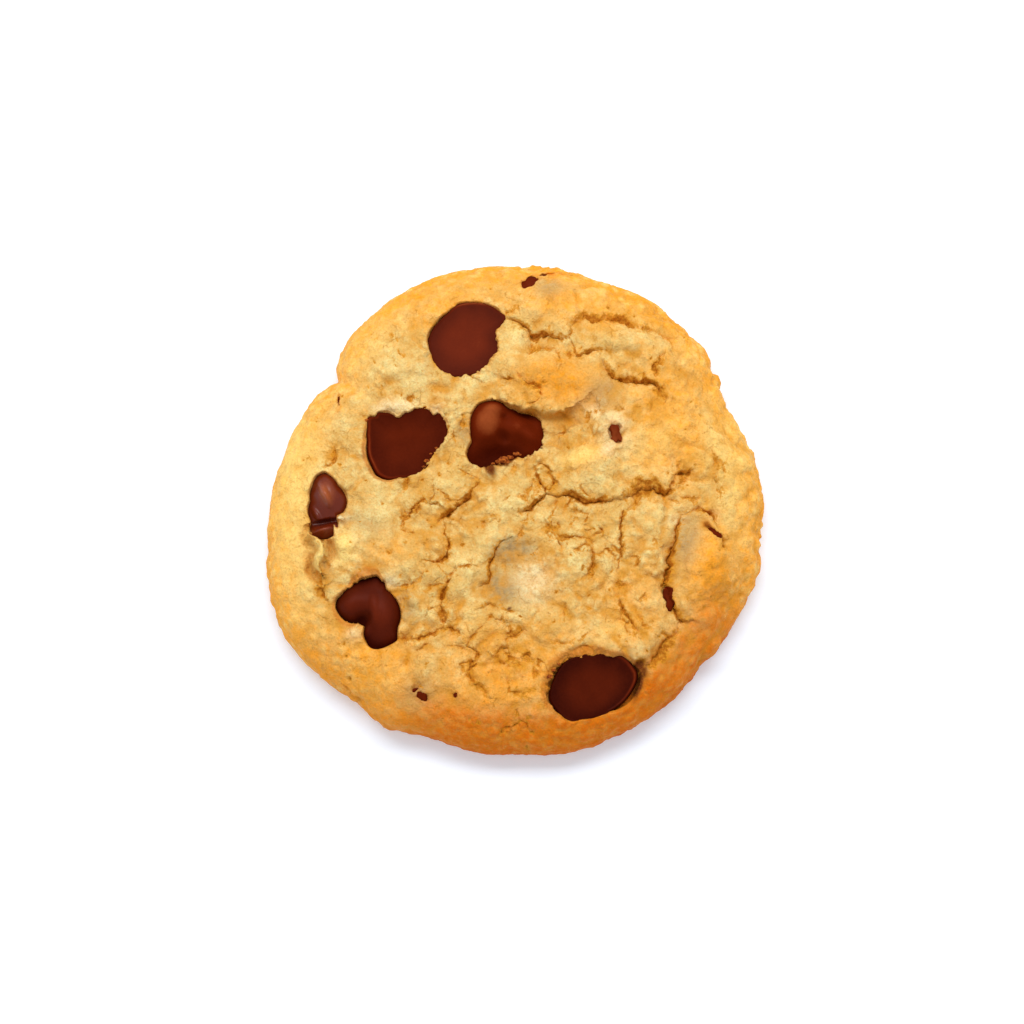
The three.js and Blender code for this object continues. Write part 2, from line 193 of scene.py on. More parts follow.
HILLS = {  # place, half length and width, turn in degrees, and rise
    "swell between the left chips": (-17.5, 19, 9, 6, 50, 0.6),
    "ridge between two chips": (-8.3, 12.6, 5.5, 2.6, 75, 0.9),
    "plate that hangs over the valley": (3.2, 17.8, 8.5, 5.5, -8, 1.5),
    "valley": (1.8, 9.5, 10, 4.2, 0, -2.6),
    "lump below the valley": (10, 4.6, 6.6, 4.2, 8, 1.1),
    "hill over a chip": (14.4, 11, 7, 6, 60, 1.4),
    "right plate": (21.5, 10, 7.5, 5.5, 80, 0.7),
    "upper right plate": (14.5, 22.8, 7, 3.6, -15, 0.6),
    "upper middle plate": (3.8, 26.8, 6, 3.4, 0, 0.5),
    "mound at the right edge": (26.6, -10.5, 8.6, 5.6, 75, 2),
    "plate left of the right mound": (18.2, -8, 8, 3.8, 85, 0.6),
    "dent in the middle": (0.9, -9.4, 5.5, 4.5, 60, -0.9),
    "plate left of the middle": (-16.8, -6.8, 6, 4.5, 0, 0.6),
    "smooth lump below the cone": (-23.4, -6.6, 2.6, 1.9, -60, 0.9),
    "hollow beside the strand": (-25.1, -7.0, 2.6, 1.1, -75, -1.5),
    "hollow outside the strand": (-28.0, -9.0, 4.2, 1.3, -80, -1.2),
    "lump at the strand's end": (-26.2, -11.4, 2.2, 1.7, -60, 0.7),
    "tongue over the cone": (-24.3, -2.8, 1.6, 0.8, 0, 0.5),
    "lump in the fork of the lobed chip": (-22.2, -18.6, 2, 1.5, -60, 0.6),
    "lower left swell": (-16.5, -26.5, 8, 4.5, -35, 0.7),
    "wall above the lower chip": (10.8, -20, 6.5, 2, 2, 0.6),
    "lip over the middle chip": (-16.8, 13.0, 3.4, 1.5, 5, 0.9),
    "corner of the lip": (-11, 12.9, 1.6, 1, 0, 0.6),
    "smooth lump below the hill": (13.2, 6.6, 2.4, 1, 25, 0.4),
}


def share_of_ellipse(x, y, cx, cy, long, short, turn):
    """1 at the middle of an ellipse, falling smoothly to 0 at its edge."""
    turn = math.radians(turn)
    along = (x - cx) * math.cos(turn) + (y - cy) * math.sin(turn)
    across = (y - cy) * math.cos(turn) - (x - cx) * math.sin(turn)
    return smooth(1 - np.hypot(along / long, across / short))


def shoulder_at(x, y):
    inset, _ = inset_of(x, y)
    return np.sqrt(1 - (1 - np.minimum(inset / EDGE_REACH, 1)) ** 2)


def top_height(x, y):
    """Height of the dough's top without its cracks, bumps and pockets."""
    inset, radius = inset_of(x, y)
    shoulder = shoulder_at(x, y)
    height = WIDEST_AT + EDGE_RISE * shoulder + CROWN * (1 - (1 - inset / radius) ** 2) * shoulder
    for cx, cy, long, short, turn, rise in HILLS.values():
        height = height + shoulder * rise * share_of_ellipse(x, y, cx, cy, long, short, turn)
    return height


print(len(HILLS), "hills and hollows")

# %% [markdown]
# ## Tears of the crust
# The crust sets before the inside stops rising, so it tears into plates. The tears could be carved with a
# brush, but then no number says where one runs, and the mesh and the colour have to agree on that. So each
# tear is a short route across the top, with a half width and a depth that fade to its ends. A step lifts the
# plate on the left of the route above the one on its right. Routes are read through three sizes of noise, so
# that straight stretches come out jagged, as crumb is. The long tears are placed one by one. Small ones open
# between them by the dozen, so they are drawn by lot, from a fixed seed.

# %% Long tears
TEARS = [  # half width, depth, step, route
    (0.4, 0.9, 0.35, [(-1.2, 25.8), (0.6, 24.5), (2.3, 23.2), (4.1, 23.3), (5.9, 22.9), (7.3, 23.2)]),
    (0.4, 0.8, 0.3, [(7.3, 23.2), (8.7, 25.9), (9.5, 26.6), (10.3, 26.1), (11.5, 25.6), (12.3, 26.4),
                     (15.5, 26.2), (16.2, 25.2), (19.4, 24.1), (23, 23.3)]),
    (0.35, 0.7, 0.25, [(7.3, 23.2), (8.1, 21.6), (8.9, 20.5), (9.6, 20.9), (12.5, 20.8)]),
    (0.45, 0.9, 0.4, [(11.8, 19.4), (12.9, 18.6), (13.5, 17.2), (14.4, 16.8), (17.7, 17), (19.7, 16.1),
                      (20.4, 14.9), (21.7, 14.2)]),
    (0.3, 0.6, -0.2, [(19.4, 16.7), (19.6, 17.9), (19.2, 18.6), (20, 19.6), (21.2, 21.3)]),
    (0.25, 0.4, 0, [(5.5, 21.6), (6.1, 20.2), (6.4, 17.8)]),
    (0.25, 0.6, 0, [(-2.1, 16.7), (-0.1, 16.7)]),
    (0.4, 0.5, 0.5, [(3.8, 13.8), (3.4, 15.5), (1.3, 15.9), (0.3, 17.7)]),
    (0.25, 0.5, 0.2, [(-11.3, 2.5), (-11.3, 0.9), (-12, -0.3), (-13.1, -0.2), (-14.4, -1.6), (-15.3, -2.6),
                      (-15.4, -4), (-14.2, -4.5)]),
    (0.35, 0.8, 0.35, [(-10.7, -3), (-10.3, -2.5), (-9.4, -1.8), (-8.3, -0.8), (-6.8, -0.1), (-5.6, 1.1),
                       (-4.9, 2.8)]),
    (0.3, 0.7, 0.3, [(-9.8, -3), (-9.8, -5.1), (-9.2, -6.5), (-9.5, -7.9), (-10.9, -8.6), (-12.4, -8.6)]),
    (0.35, 0.8, 0.3, [(-8, -9.4), (-8.7, -10.6), (-9.5, -11.7), (-9.9, -13), (-10.2, -14.5), (-9.6, -17.1),
                      (-9.9, -17.9)]),
    (0.3, 0.6, 0.2, [(-9.9, -17.9), (-11.4, -18.6), (-12.5, -19), (-14.4, -19.1), (-16, -19.4)]),
    (0.3, 0.7, 0.2, [(2.9, 4.6), (3.3, 2.8), (4, 1.5), (4.2, 0.8)]),
    (0.4, 0.8, -0.5, [(4.2, 0.8), (3.3, -0.1), (2, -1.1), (0.7, -1.7)]),
    (0.45, 0.8, 0.5, [(4.2, 0.8), (5.5, 0.6), (6.9, 0.8), (8.4, 0.6), (9.2, -0.1), (10.5, -0.4), (13.2, 0),
                      (14.3, 0.3)]),
    (0.95, 1.1, 0.6, [(14.3, 0.3), (16.1, 0.6), (17.5, 1.7), (18.8, 1.9), (19.8, 1.3), (20.9, 0.9),
                      (21.5, 2.3), (22.3, 3.5)]),
    (0.4, 0.8, 0.4, [(22.3, 3.5), (23.1, 3.9), (24.2, 4.3)]),
    (0.3, 0.6, -0.4, [(-0.5, -5.4), (-2, -5.8), (-2.7, -6.8), (-2.9, -8), (-3.5, -8.9), (-3.2, -10.2),
                      (-3.6, -11.3), (-4.8, -11.9)]),
    (0.25, 0.5, 0.1, [(4, -3.1), (4.7, -4.2), (5.8, -4.4)]),
    (0.25, 0.5, 0.1, [(5.1, -4.9), (6.9, -5.4), (8.1, -5.1), (10.4, -5.5)]),
    (0.25, 0.5, 0.1, [(10.4, -5.8), (10.7, -7.5), (10.6, -8.8), (10.1, -9.9), (10.8, -11.3)]),
    (0.22, 0.4, 0, [(8.1, -0.7), (8.3, -2.1)]),
    (0.22, 0.4, 0, [(1, -3.6), (0.6, -5.4)]),
    (0.22, 0.5, 0, [(2.4, -7.2), (2.5, -8)]),
    (0.35, 0.6, 0.35, [(16.5, -0.6), (15, -1.6), (14.3, -2.8), (14.5, -5.1), (14.3, -7.2), (14, -9.6)]),
    (0.3, 0.5, 0.25, [(14.2, -13.2), (14.9, -15.7), (15.8, -17), (16.9, -18.4)]),
    (0.3, 0.7, 0.7, [(24.9, -1.4), (22.9, -2.1), (22.2, -4.3), (22.1, -6.4), (21.4, -8.2), (21.1, -10.2),
                      (20.8, -11.9), (21.9, -15.6), (23.1, -16.9), (24.5, -16.9)]),
    (0.5, 1.0, -0.5, [(24.9, -1.4), (25.7, -1.3), (26.9, -2.3), (27.8, -3.1)]),
    (0.4, 0.7, -0.3, [(28.6, -5), (29.2, -6.2), (29.8, -7)]),
    (0.4, 0.3, 0.3, [(27.6, 8.4), (27.9, 5.6), (27.8, 3), (28.4, 1.4), (28.3, -0.7)]),
    (0.25, 0.5, -0.2, [(-25.6, 8.3), (-25.1, 6.6), (-25.9, 5), (-26.6, 4.4)]),
    (0.45, 0.6, 0.2, [(-27.3, -10.4), (-26.8, -12.5), (-25.6, -14.6)]),
    (0.3, 0.5, 0, [(-9.9, -17.9), (-8.6, -17.9), (-7.8, -18.4), (-6.9, -19)]),
    (0.3, 0.6, 0.15, [(-3.5, -16.8), (-5.1, -18.2), (-5.7, -18.8), (-6.2, -20.2), (-5.2, -20.9),
                      (-5.2, -22.2), (-6.2, -22.5), (-6.7, -23.6), (-5.8, -25.5), (-4.6, -26), (-3.9, -27.1),
                      (-2.8, -27.5)]),
    (0.28, 0.6, 0, [(-2.1, -17.1), (-0.5, -17.8), (-0.8, -18.4), (-1.7, -18.7)]),
    (0.22, 0.5, 0, [(-1.7, -20.9), (-0.8, -21.7), (0.9, -21.7)]),
    (0.22, 0.4, 0, [(1.5, -20.9), (2.2, -22.2)]),
    (0.25, 0.5, 0, [(-1.4, -25), (-0.9, -25.6), (-1.2, -26.7), (0.6, -26.8), (3.3, -26.3)]),
    (0.22, 0.4, 0, [(-0.1, -28.9), (0.7, -30)]),
    (0.22, 0.4, 0, [(2.8, -22.9), (2.6, -25)]),
    (0.5, 0.6, 0.7, [(22.4, -17.8), (21.3, -19.4), (19.7, -21.4), (18.6, -22.8), (17.6, -23.2)]),
    (0.3, 0.4, 0.25, [(-24, -24.9), (-22.6, -26.5), (-21.5, -27.9)]),
]
print(len(TEARS), "long tears")

# %% Overhang, strand and smooth plates
OVERHANG = [(-1, 13.2), (0.6, 12.6), (2.7, 12.3), (4.5, 11.9), (6.4, 11.8), (8.2, 12.4), (9.2, 13.1),
            (10, 14.1)]
STRAND = [(-28.2, -4.9), (-27.2, -5.7), (-26.3, -6.6), (-26.2, -7.5), (-27, -8.2), (-27.2, -9.2),
          (-26.6, -10.2)]
SMOOTH_PLATES = [  # place, half length and width, turn, and how smooth
    (6, 16.8, 8, 3.8, -8, 1.0), (-23.4, -6.8, 2, 2.6, 0, 1.0), (9.4, 6.2, 4, 1.6, 10, 1.0),
    (19.5, 8, 6, 3, 60, 0.6), (-16.8, 13, 3, 1.4, 5, 1.0), (-17.5, -6.5, 4, 3.4, 0, 0.7),
    (-19, -1, 4.5, 3, 20, 0.6), (24, -6, 3.4, 5, 10, 0.7), (2.4, -11.4, 3.4, 3.4, 0, 0.6),
    (3.8, 26.8, 4, 2, 0, 0.5),
]
print(len(SMOOTH_PLATES), "smooth plates")

# %% Reading a route
WANDER = [(0.5, 2.6), (0.28, 1.0), (0.15, 0.45)]  # how far, and over what size


def nearest_on_route(route, x, y):
    """For each point: distance to the route, the nearest place, share of the way along, and which side."""
    distance = np.full(len(x), 1e9)
    place_x = np.zeros(len(x))
    place_y = np.zeros(len(x))
    share = np.zeros(len(x))
    side = np.ones(len(x))
    for i, ((ax, ay), (bx, by)) in enumerate(zip(route, route[1:])):
        ex = bx - ax
        ey = by - ay
        t = np.clip(((x - ax) * ex + (y - ay) * ey) / (ex * ex + ey * ey), 0, 1)
        px = ax + t * ex
        py = ay + t * ey
        d = np.hypot(x - px, y - py)
        near = d < distance
        distance = np.where(near, d, distance)
        place_x = np.where(near, px, place_x)
        place_y = np.where(near, py, place_y)
        share = np.where(near, (i + t) / (len(route) - 1), share)
        side = np.where(near, np.sign(ex * (y - ay) - ey * (x - ax)), side)
    return distance, place_x, place_y, share, side


def wander(x, y):
    """Sideways shift that turns straight routes into torn ones."""
    wx = x
    wy = y
    flat = np.zeros(len(x))
    for far, size in WANDER:
        wx = wx + far * noise_at(x, y, flat + 3.1, size)
        wy = wy + far * noise_at(x, y, flat + 7.7, size)
    return wx, wy


def within_reach(route, x, y, reach):
    """Numbers of the points in the route's box, widened by a reach."""
    rx, ry = np.array(route).T
    beside = (x > rx.min() - reach) & (x < rx.max() + reach)
    return np.flatnonzero(beside & (y > ry.min() - reach) & (y < ry.max() + reach))


print("routes can be read")

# %% Small tears
SMALL_TEARS = 120
SMALL_REACH = 24  # how far the small tears start from their middle, which lies below the cookie's
SMALL_LOWER = 3
BRANCHING = 0.45  # share of the small tears that start on a long one
SMALL_STEP = (0.6, 1.2)
SMALL_TURN = 0.8  # typical change of heading from step to step, in radians
SMALL_WIDTH = (0.18, 0.32)
SMALL_DEPTH = (0.22, 0.5)
SMALL_RAISE = (-0.2, 0.2)
LEFT_WHOLE = 0.1  # no small tear goes further into a smooth plate than this share of it


def small_tears(count, seed):
    """Short tears that open where the crumb between the long ones dried. The smooth plates stay whole."""
    rng = np.random.default_rng(seed)
    found = []
    while len(found) < count:
        if rng.uniform() < BRANCHING:
            long_tear = TEARS[rng.integers(len(TEARS))][3]
            tx, ty = long_tear[rng.integers(len(long_tear))]
        else:
            angle = rng.uniform(0, 2 * math.pi)
            away = SMALL_REACH * math.sqrt(rng.uniform(0, 1))
            tx = away * math.cos(angle)
            ty = away * math.sin(angle) - SMALL_LOWER
        route = [(tx, ty)]
        heading = rng.uniform(0, 2 * math.pi)
        for _ in range(rng.integers(2, 5)):
            heading += rng.normal(0, SMALL_TURN)
            tx += rng.uniform(*SMALL_STEP) * math.cos(heading)
            ty += rng.uniform(*SMALL_STEP) * math.sin(heading)
            route.append((tx, ty))
        spots = np.array(route)
        entered = [share_of_ellipse(*spots.T, *plate[:5]).max() for plate in SMOOTH_PLATES]
        if max(entered) < LEFT_WHOLE:
            found.append((*(rng.uniform(*r) for r in (SMALL_WIDTH, SMALL_DEPTH, SMALL_RAISE)), route))
    return found


TEARS = TEARS + small_tears(SMALL_TEARS, 11)
print(len(TEARS), "tears in all")

# %% [markdown]
# ## Pockets
# A pocket is the hole in the dough that shows a chip. A chip could cut its own hole, but dough never follows
# a chip so closely, so each pocket's edge is drawn by points round the chip's middle. Dough mostly lies close
# to the chip, a little above it. On some sides it shrank back, and its wall shows, browner than the top. Torn
# sides are jagged, melted ones smooth.

# %% Pockets
POCKETS = {
    "chip_disc_upper": {
        "middle": (-7.3, 22.7), "sunk": 0.4, "depth": 2,
        "walls": [], "torn": [(300, 60, 0.14)],
        "outline": [
            (-12.3, 22.4), (-11, 25.3), (-9.5, 26.6), (-8, 27.9), (-6.3, 28.1), (-3.3, 27.6), (-2.2, 26.8),
            (-1.2, 25.9), (-2.2, 24.9), (-2.7, 23.8), (-2.7, 22.6), (-2.3, 21.5), (-2.6, 20.6), (-3.3, 19.8),
            (-4.1, 19), (-4.6, 18.2), (-6.3, 17.9), (-8.4, 17.6), (-10.2, 18.1), (-10.9, 18.9),
            (-11.7, 20.6)],
    },
    "chip_disc_middle": {
        "middle": (-15, 7.7), "sunk": 0.45, "depth": 2,
        "walls": [(215, 34, 0.4), (175, 20, 0.2)], "torn": [(310, 40, 0.14), (70, 60, 0.1)],
        "outline": [
            (-20.4, 12), (-19.4, 12.3), (-18.9, 11.3), (-16.2, 11.4), (-14.5, 12.3), (-13.2, 12.8),
            (-12.1, 12.7), (-11.4, 11.7), (-10.6, 11.6), (-9.9, 12.3), (-9.4, 10.9), (-9.4, 9.3), (-10, 8.1),
            (-10.8, 7.1), (-11.8, 6.3), (-12, 5.3), (-12.8, 4.2), (-14.2, 3.4), (-15.9, 3), (-17.9, 2.7),
            (-19.2, 3.3), (-20, 4.7), (-20.6, 6.1), (-20.6, 8.2), (-20.5, 10.3)],
    },
    "chip_lump_valley": {
        "middle": (-1.6, 9.2), "sunk": 0.4, "depth": 3,
        "walls": [(285, 25, 0.3)], "torn": [(290, 50, 0.22), (0, 40, 0.12)],
        "outline": [
            (-5.2, 13.5), (-3.5, 14), (-2.1, 13.9), (-1, 13), (0.6, 12.5), (2.4, 12.1), (3.4, 11.2),
            (3.8, 10.2), (3.5, 8.8), (3.6, 7), (2, 6.4), (0.3, 6.1), (-1.5, 5.3), (-2.8, 4.9), (-4.9, 4.6),
            (-6.3, 5.2), (-6.8, 6), (-6.8, 7.1), (-6, 8.1), (-6.3, 10.2), (-6, 12.1)],
    },
    "chip_cone_left": {
        "middle": (-26, -0.5), "sunk": 0.3, "depth": 2.6,
        "walls": [], "torn": [],
        "outline": [
            (-26.3, 4.1), (-25.5, 3.5), (-24.4, 2.1), (-23.4, 0.9), (-23.1, -0.4), (-23.6, -1.7),
            (-24.6, -2.1), (-25.3, -2.6), (-25.2, -3.1), (-24.3, -3.5), (-24.4, -4.3), (-24.7, -5),
            (-26.1, -5.4), (-28.2, -5), (-28.3, -2.8), (-28.4, 0), (-28.1, 2), (-27.4, 3.6)],
    },
    "chip_lobed_left": {
        "middle": (-19.6, -15.4), "sunk": 0.4, "depth": 2.6,
        "walls": [(103, 17, 1.1), (180, 20, 0.4), (205, 14, 0.4)], "torn": [(110, 30, 0.14)],
        "outline": [
            (-17.9, -10.9), (-18.2, -11.5), (-17.7, -12.4), (-16.7, -13.2), (-16, -14.2), (-15.6, -15.4),
            (-15.6, -16.5), (-16, -17.6), (-16.1, -18.8), (-15.9, -19.2), (-17.3, -20.2), (-19.1, -20.7),
            (-20, -20.4), (-20.6, -19.4), (-20.9, -18.3), (-20.6, -17.5), (-21.5, -17.1), (-23.3, -16.8),
            (-24.2, -15.9), (-24.8, -14.8), (-24.6, -13.6), (-23.8, -12.9), (-22.3, -11.7), (-20.7, -10.7),
            (-18.8, -10.3)],
    },
    "chip_disc_lower": {
        "middle": (10.7, -25.8), "sunk": 0.6, "depth": 2.2,
        "walls": [(98, 32, 0.95), (150, 22, 0.7), (195, 25, 0.5), (12, 12, 0.8), (335, 20, 0.5)],
        "torn": [(130, 50, 0.24)],
        "outline": [
            (4.1, -27.2), (4.7, -28.3), (5.8, -29.3), (7.3, -30.3), (9.4, -30), (11.5, -29.6), (12.9, -28.9),
            (14.5, -28.4), (15.9, -27.4), (16.9, -25.8), (17.3, -24.4), (17.1, -23.4), (16.5, -22.8),
            (14.7, -21.5), (12.8, -21.5), (11.5, -21.3), (9.4, -21.6), (8.1, -21.8), (6.7, -22.2),
            (5.5, -23.3), (4.5, -25)],
    },
}
SLITS = {  # chip: its openings, each with place, half length and width, turn, and depth
    "chip_edge_top": [(2.1, 31.5, 1.5, 0.8, 25, 1.0), (4.5, 32.8, 1.5, 0.25, 8, 0.7)],
    "chip_splinter_hill": [(13.9, 9, 1.6, 0.85, 110, 0.9)],
    "chip_splinter_mound": [(21, -13.5, 1.75, 0.65, 98, 1.4)],
    "chip_splinter_edge": [(27.3, -4.3, 1.3, 0.4, -35, 1.2)],
    "chip_splinter_lower": [(-13.6, -26.3, 0.62, 0.52, 0, 0.7), (-12.6, -27.3, 0.75, 0.6, 130, 0.7)],
    "chip_splinter_notch": [(-24.4, 14.3, 0.85, 0.16, 92, 0.7)],
    "chip_fleck_lower": [(-8.4, -26.7, 0.45, 0.4, 0, 0.5)],
}
print(len(POCKETS), "pockets and", len(SLITS), "chips in slits")


# %% Reading a pocket
def reach_function(middle, outline, soften=2.5):
    """Radius of a smooth outline at any direction round its middle, from the outline's points."""
    angles = np.array([math.degrees(math.atan2(y - middle[1], x - middle[0])) % 360 for x, y in outline])
    radii = np.array([math.hypot(x - middle[0], y - middle[1]) for x, y in outline])
    order = np.argsort(angles)
    steps = np.arange(360)
    known = np.interp(steps, angles[order], radii[order], period=360)
    weights = np.exp(-0.5 * (np.minimum(steps, 360 - steps) / soften) ** 2)
    softened = np.real(np.fft.ifft(np.fft.fft(known) * np.fft.fft(weights / weights.sum())))
    return lambda angle: np.interp(np.degrees(angle) % 360, steps, softened, period=360)


def pocket_distance(pocket, x, y):
    """Distance outside (above 0) or inside (below 0) a pocket's edge, and the direction from its middle."""
    reach = pocket["reach"]
    dx = x - pocket["middle"][0]
    dy = y - pocket["middle"][1]
    angle = np.arctan2(dy, dx)
    step = math.radians(1)
    slope = (reach(angle + step) - reach(angle - step)) / (2 * step) / reach(angle)
    return (np.hypot(dx, dy) - reach(angle)) / np.hypot(1, slope), angle


def at_sides(sides, angle):
    """Sum of what is given for some directions: each has a direction, a spread and an amount."""
    return sum((amount * bell(np.degrees(angle), at, spread) for at, spread, amount in sides), 0 * angle)


def ellipse_distance(x, y, cx, cy, long, short, turn):
    turn = math.radians(turn)
    along = (x - cx) * math.cos(turn) + (y - cy) * math.sin(turn)
    across = (y - cy) * math.cos(turn) - (x - cx) * math.sin(turn)
    return (np.hypot(along / long, across / short) - 1) * short


for pocket in POCKETS.values():
    pocket["reach"] = reach_function(pocket["middle"], pocket["outline"])
print("pockets can be read")

# %% [markdown]
# ## A round sheet of even triangles
# Crumb needs small faces of one size all over, and a disc made of rings and spokes crowds them in the middle.
# A six-sided fan, cut evenly, gives a honeycomb of triangles instead. Pushing each of its six-sided rings
# round gives a disc, and pulling its rim down and in closes it below. Dough and chips both start this way.

# %% Round sheet
CORNER = math.radians(30)  # the fan's corners lie at 30 degrees and every 60 from there
SIXTH = math.radians(60)


def points_of(piece):
    points = np.zeros(len(piece.data.vertices) * 3)
    piece.data.vertices.foreach_get("co", points)
    return points.reshape(-1, 3)


def place_points(piece, points):
    piece.data.vertices.foreach_set("co", np.asarray(points, float).ravel())
    piece.data.update()


def round_sheet(name, cuts):
    """A fan of six triangles, cut evenly. Also each point's share of the way out, and its direction."""
    nothing_selected()
    rings = math.prod(c + 1 for c in cuts)
    bpy.ops.mesh.primitive_circle_add(vertices=6, radius=rings, fill_type="TRIFAN")
    sheet = bpy.context.object
    sheet.name = name
    sheet.data.name = name
    bpy.ops.object.mode_set(mode="EDIT")
    for c in cuts:
        bpy.ops.mesh.select_all(action="SELECT")
        bpy.ops.mesh.subdivide(number_cuts=c)
    bpy.ops.object.mode_set(mode="OBJECT")
    points = points_of(sheet)
    angle = (np.arctan2(points[:, 1], points[:, 0]) - CORNER) % (2 * math.pi)
    side = np.floor(angle / SIXTH)
    rest = angle - side * SIXTH
    toward = np.sin(rest)
    away = np.sin(SIXTH - rest)
    out = np.hypot(points[:, 0], points[:, 1]) * (toward + away) / math.sin(SIXTH) / rings
    return sheet, out, CORNER + SIXTH * (side + toward / (toward + away))


print("a sheet can be laid")


# %% Closing a sheet, and cutting it finer
def pull_rim(piece, steps, middle):
    """Extrudes the open rim step by step: each step moves it down and scales it towards the middle."""
    nothing_selected()
    piece.select_set(True)
    bpy.context.view_layer.objects.active = piece
    bpy.ops.object.mode_set(mode="EDIT")
    bpy.ops.mesh.select_mode(type="EDGE")
    bpy.ops.mesh.select_all(action="DESELECT")
    bpy.ops.mesh.select_non_manifold()
    for down, scale in steps:
        bpy.ops.mesh.extrude_edges_move(TRANSFORM_OT_translate={"value": (0, 0, -down)})
        bpy.ops.transform.resize(value=(scale, scale, 1), center_override=(*middle, 0))
    bpy.ops.mesh.edge_face_add()
    bpy.ops.mesh.select_all(action="SELECT")
    bpy.ops.mesh.normals_make_consistent(inside=False)
    bpy.ops.object.mode_set(mode="OBJECT")


def cut_finer(piece, wanted):
    """Halves every edge whose two ends are both wanted."""
    ends = np.zeros(len(piece.data.edges) * 2, int)
    piece.data.edges.foreach_get("vertices", ends)
    chosen = wanted[ends.reshape(-1, 2)].all(axis=1)
    nothing_selected()
    piece.select_set(True)
    bpy.context.view_layer.objects.active = piece
    bpy.ops.object.mode_set(mode="EDIT")
    bpy.ops.mesh.select_mode(type="EDGE")
    bpy.ops.mesh.select_all(action="DESELECT")
    bpy.ops.object.mode_set(mode="OBJECT")
    piece.data.edges.foreach_set("select", chosen)
    bpy.ops.object.mode_set(mode="EDIT")
    bpy.ops.mesh.subdivide(number_cuts=1)
    bpy.ops.mesh.select_all(action="SELECT")
    bpy.ops.mesh.quads_convert_to_tris()
    bpy.ops.object.mode_set(mode="OBJECT")


def keep_on(piece, name, values):
    attribute = piece.data.attributes.new(name, "FLOAT", "POINT")
    attribute.data.foreach_set("value", np.clip(values, 0, 1).astype(np.float32))


def smooth_faces(piece):
    piece.data.polygons.foreach_set("use_smooth", np.ones(len(piece.data.polygons), bool))


print("a sheet can be closed")

# %% [markdown]
# ## The dough's sheet
# The sheet starts with triangles of about 0.3 mm. Near a tear or a pocket's edge they are halved, and points
# are drawn to the line, so that the folds of the mesh follow it.

# %% Dough sheet
SHEET_CUTS = (11, 10)
TOP_SHARE = 0.72  # share of the rings that the top gets before it curves over the edge
NEAR_LINE = 0.55  # edges this near to a tear are halved
NEAR_ROUTE = 1.5
PULL = 0.6  # share of the way that points are drawn to a line, and from how far
PULL_REACH = 0.6


def nearest_tear(x, y):
    """Distance to the nearest tear, and the shift from each point to it."""
    wx, wy = wander(x, y)
    near = np.full(len(x), 1e9)
    near_x = np.zeros(len(x))
    near_y = np.zeros(len(x))
    for _, _, _, route in TEARS:
        close = within_reach(route, wx, wy, NEAR_ROUTE)
        d, px, py, _, _ = nearest_on_route(route, wx[close], wy[close])
        closer = d < near[close]
        spot = close[closer]
        near[spot] = d[closer]
        near_x[spot] = px[closer] - wx[spot]
        near_y[spot] = py[closer] - wy[spot]
    return near, near_x, near_y


def nearest_opening(x, y):
    """Distance to the nearest edge of a pocket or slit."""
    near = np.full(len(x), 1e9)
    for pocket in POCKETS.values():
        near = np.minimum(near, np.abs(pocket_distance(pocket, x, y)[0] - 0.1))
    for openings in SLITS.values():
        for cx, cy, long, short, turn, _ in openings:
            near = np.minimum(near, np.abs(ellipse_distance(x, y, cx, cy, long, short, turn)))
    return near


dough, out, direction = round_sheet("cookie_dough", SHEET_CUTS)
flat = outline_radius(direction) - EDGE_REACH
past = np.clip((out - TOP_SHARE) / (1 - TOP_SHARE), 0, 1)
out = np.where(past > 0, flat + EDGE_REACH * np.sin(math.pi / 2 * past), flat * out / TOP_SHARE)
x = MIDDLE[0] + out * np.cos(direction)
y = MIDDLE[1] + out * np.sin(direction)
place_points(dough, np.column_stack((x, y, 0 * x)))
cut_finer(dough, (nearest_tear(x, y)[0] < NEAR_LINE) | (nearest_opening(x, y) < 1.2 * NEAR_LINE))
print("dough sheet:", len(dough.data.polygons), "triangles")

# %% Drawing the sheet to its lines, and its main form
x, y, _ = points_of(dough).T
inset, _ = inset_of(x, y)
near, near_x, near_y = nearest_tear(x, y)
pull = PULL * np.clip(1 - near / PULL_REACH, 0, 1) * smooth(inset)
x = x + near_x * pull
y = y + near_y * pull
for pocket in POCKETS.values():
    d, angle = pocket_distance(pocket, x, y)
    pull = PULL * np.clip(1 - np.abs(d) / PULL_REACH, 0, 1)
    x = x - d * pull * np.cos(angle)
    y = y - d * pull * np.sin(angle)
print("points drawn to", len(TEARS) + len(POCKETS), "lines")

# %% Overhang, strand and the closed dough
LIP_STEP = 1.8  # from the plate down to the valley, at the overhang's edge
LIP_FROM = 4  # how far from that edge the plate starts to rise
LIP_TO = 2.2  # and how far from it the valley is level again
STRAND_WIDTH = 0.85
STRAND_RISE = 1.3
FURROW_DEPTH = 0.8
UNDERCUT = [(0.5, 0.998), (0.7, 0.993), (0.8, 0.984), (0.6, 0.972)]  # steps down, and how far each goes in
BASE_RINGS = (0.94, 0.9, 0.85, 0.8, 0.72, 0.6, 0.35)


def overhang_at(x, y):
    """Distance to the overhang's edge, how strong the step is there, and which side the point is on."""
    d, _, _, share, side = nearest_on_route(OVERHANG, x, y)
    return d, np.sin(math.pi * np.clip(share, 0.04, 0.96)) ** 0.5, side


def furrow_at(x, y):
    """1 in the furrow on both sides of the strand, and the distance to the strand's middle."""
    away, _, _, _, _ = nearest_on_route(STRAND, x, y)
    return smooth((away - 0.6 * STRAND_WIDTH) / 0.3) * (1 - smooth((away - 1.0) / 0.7)), away


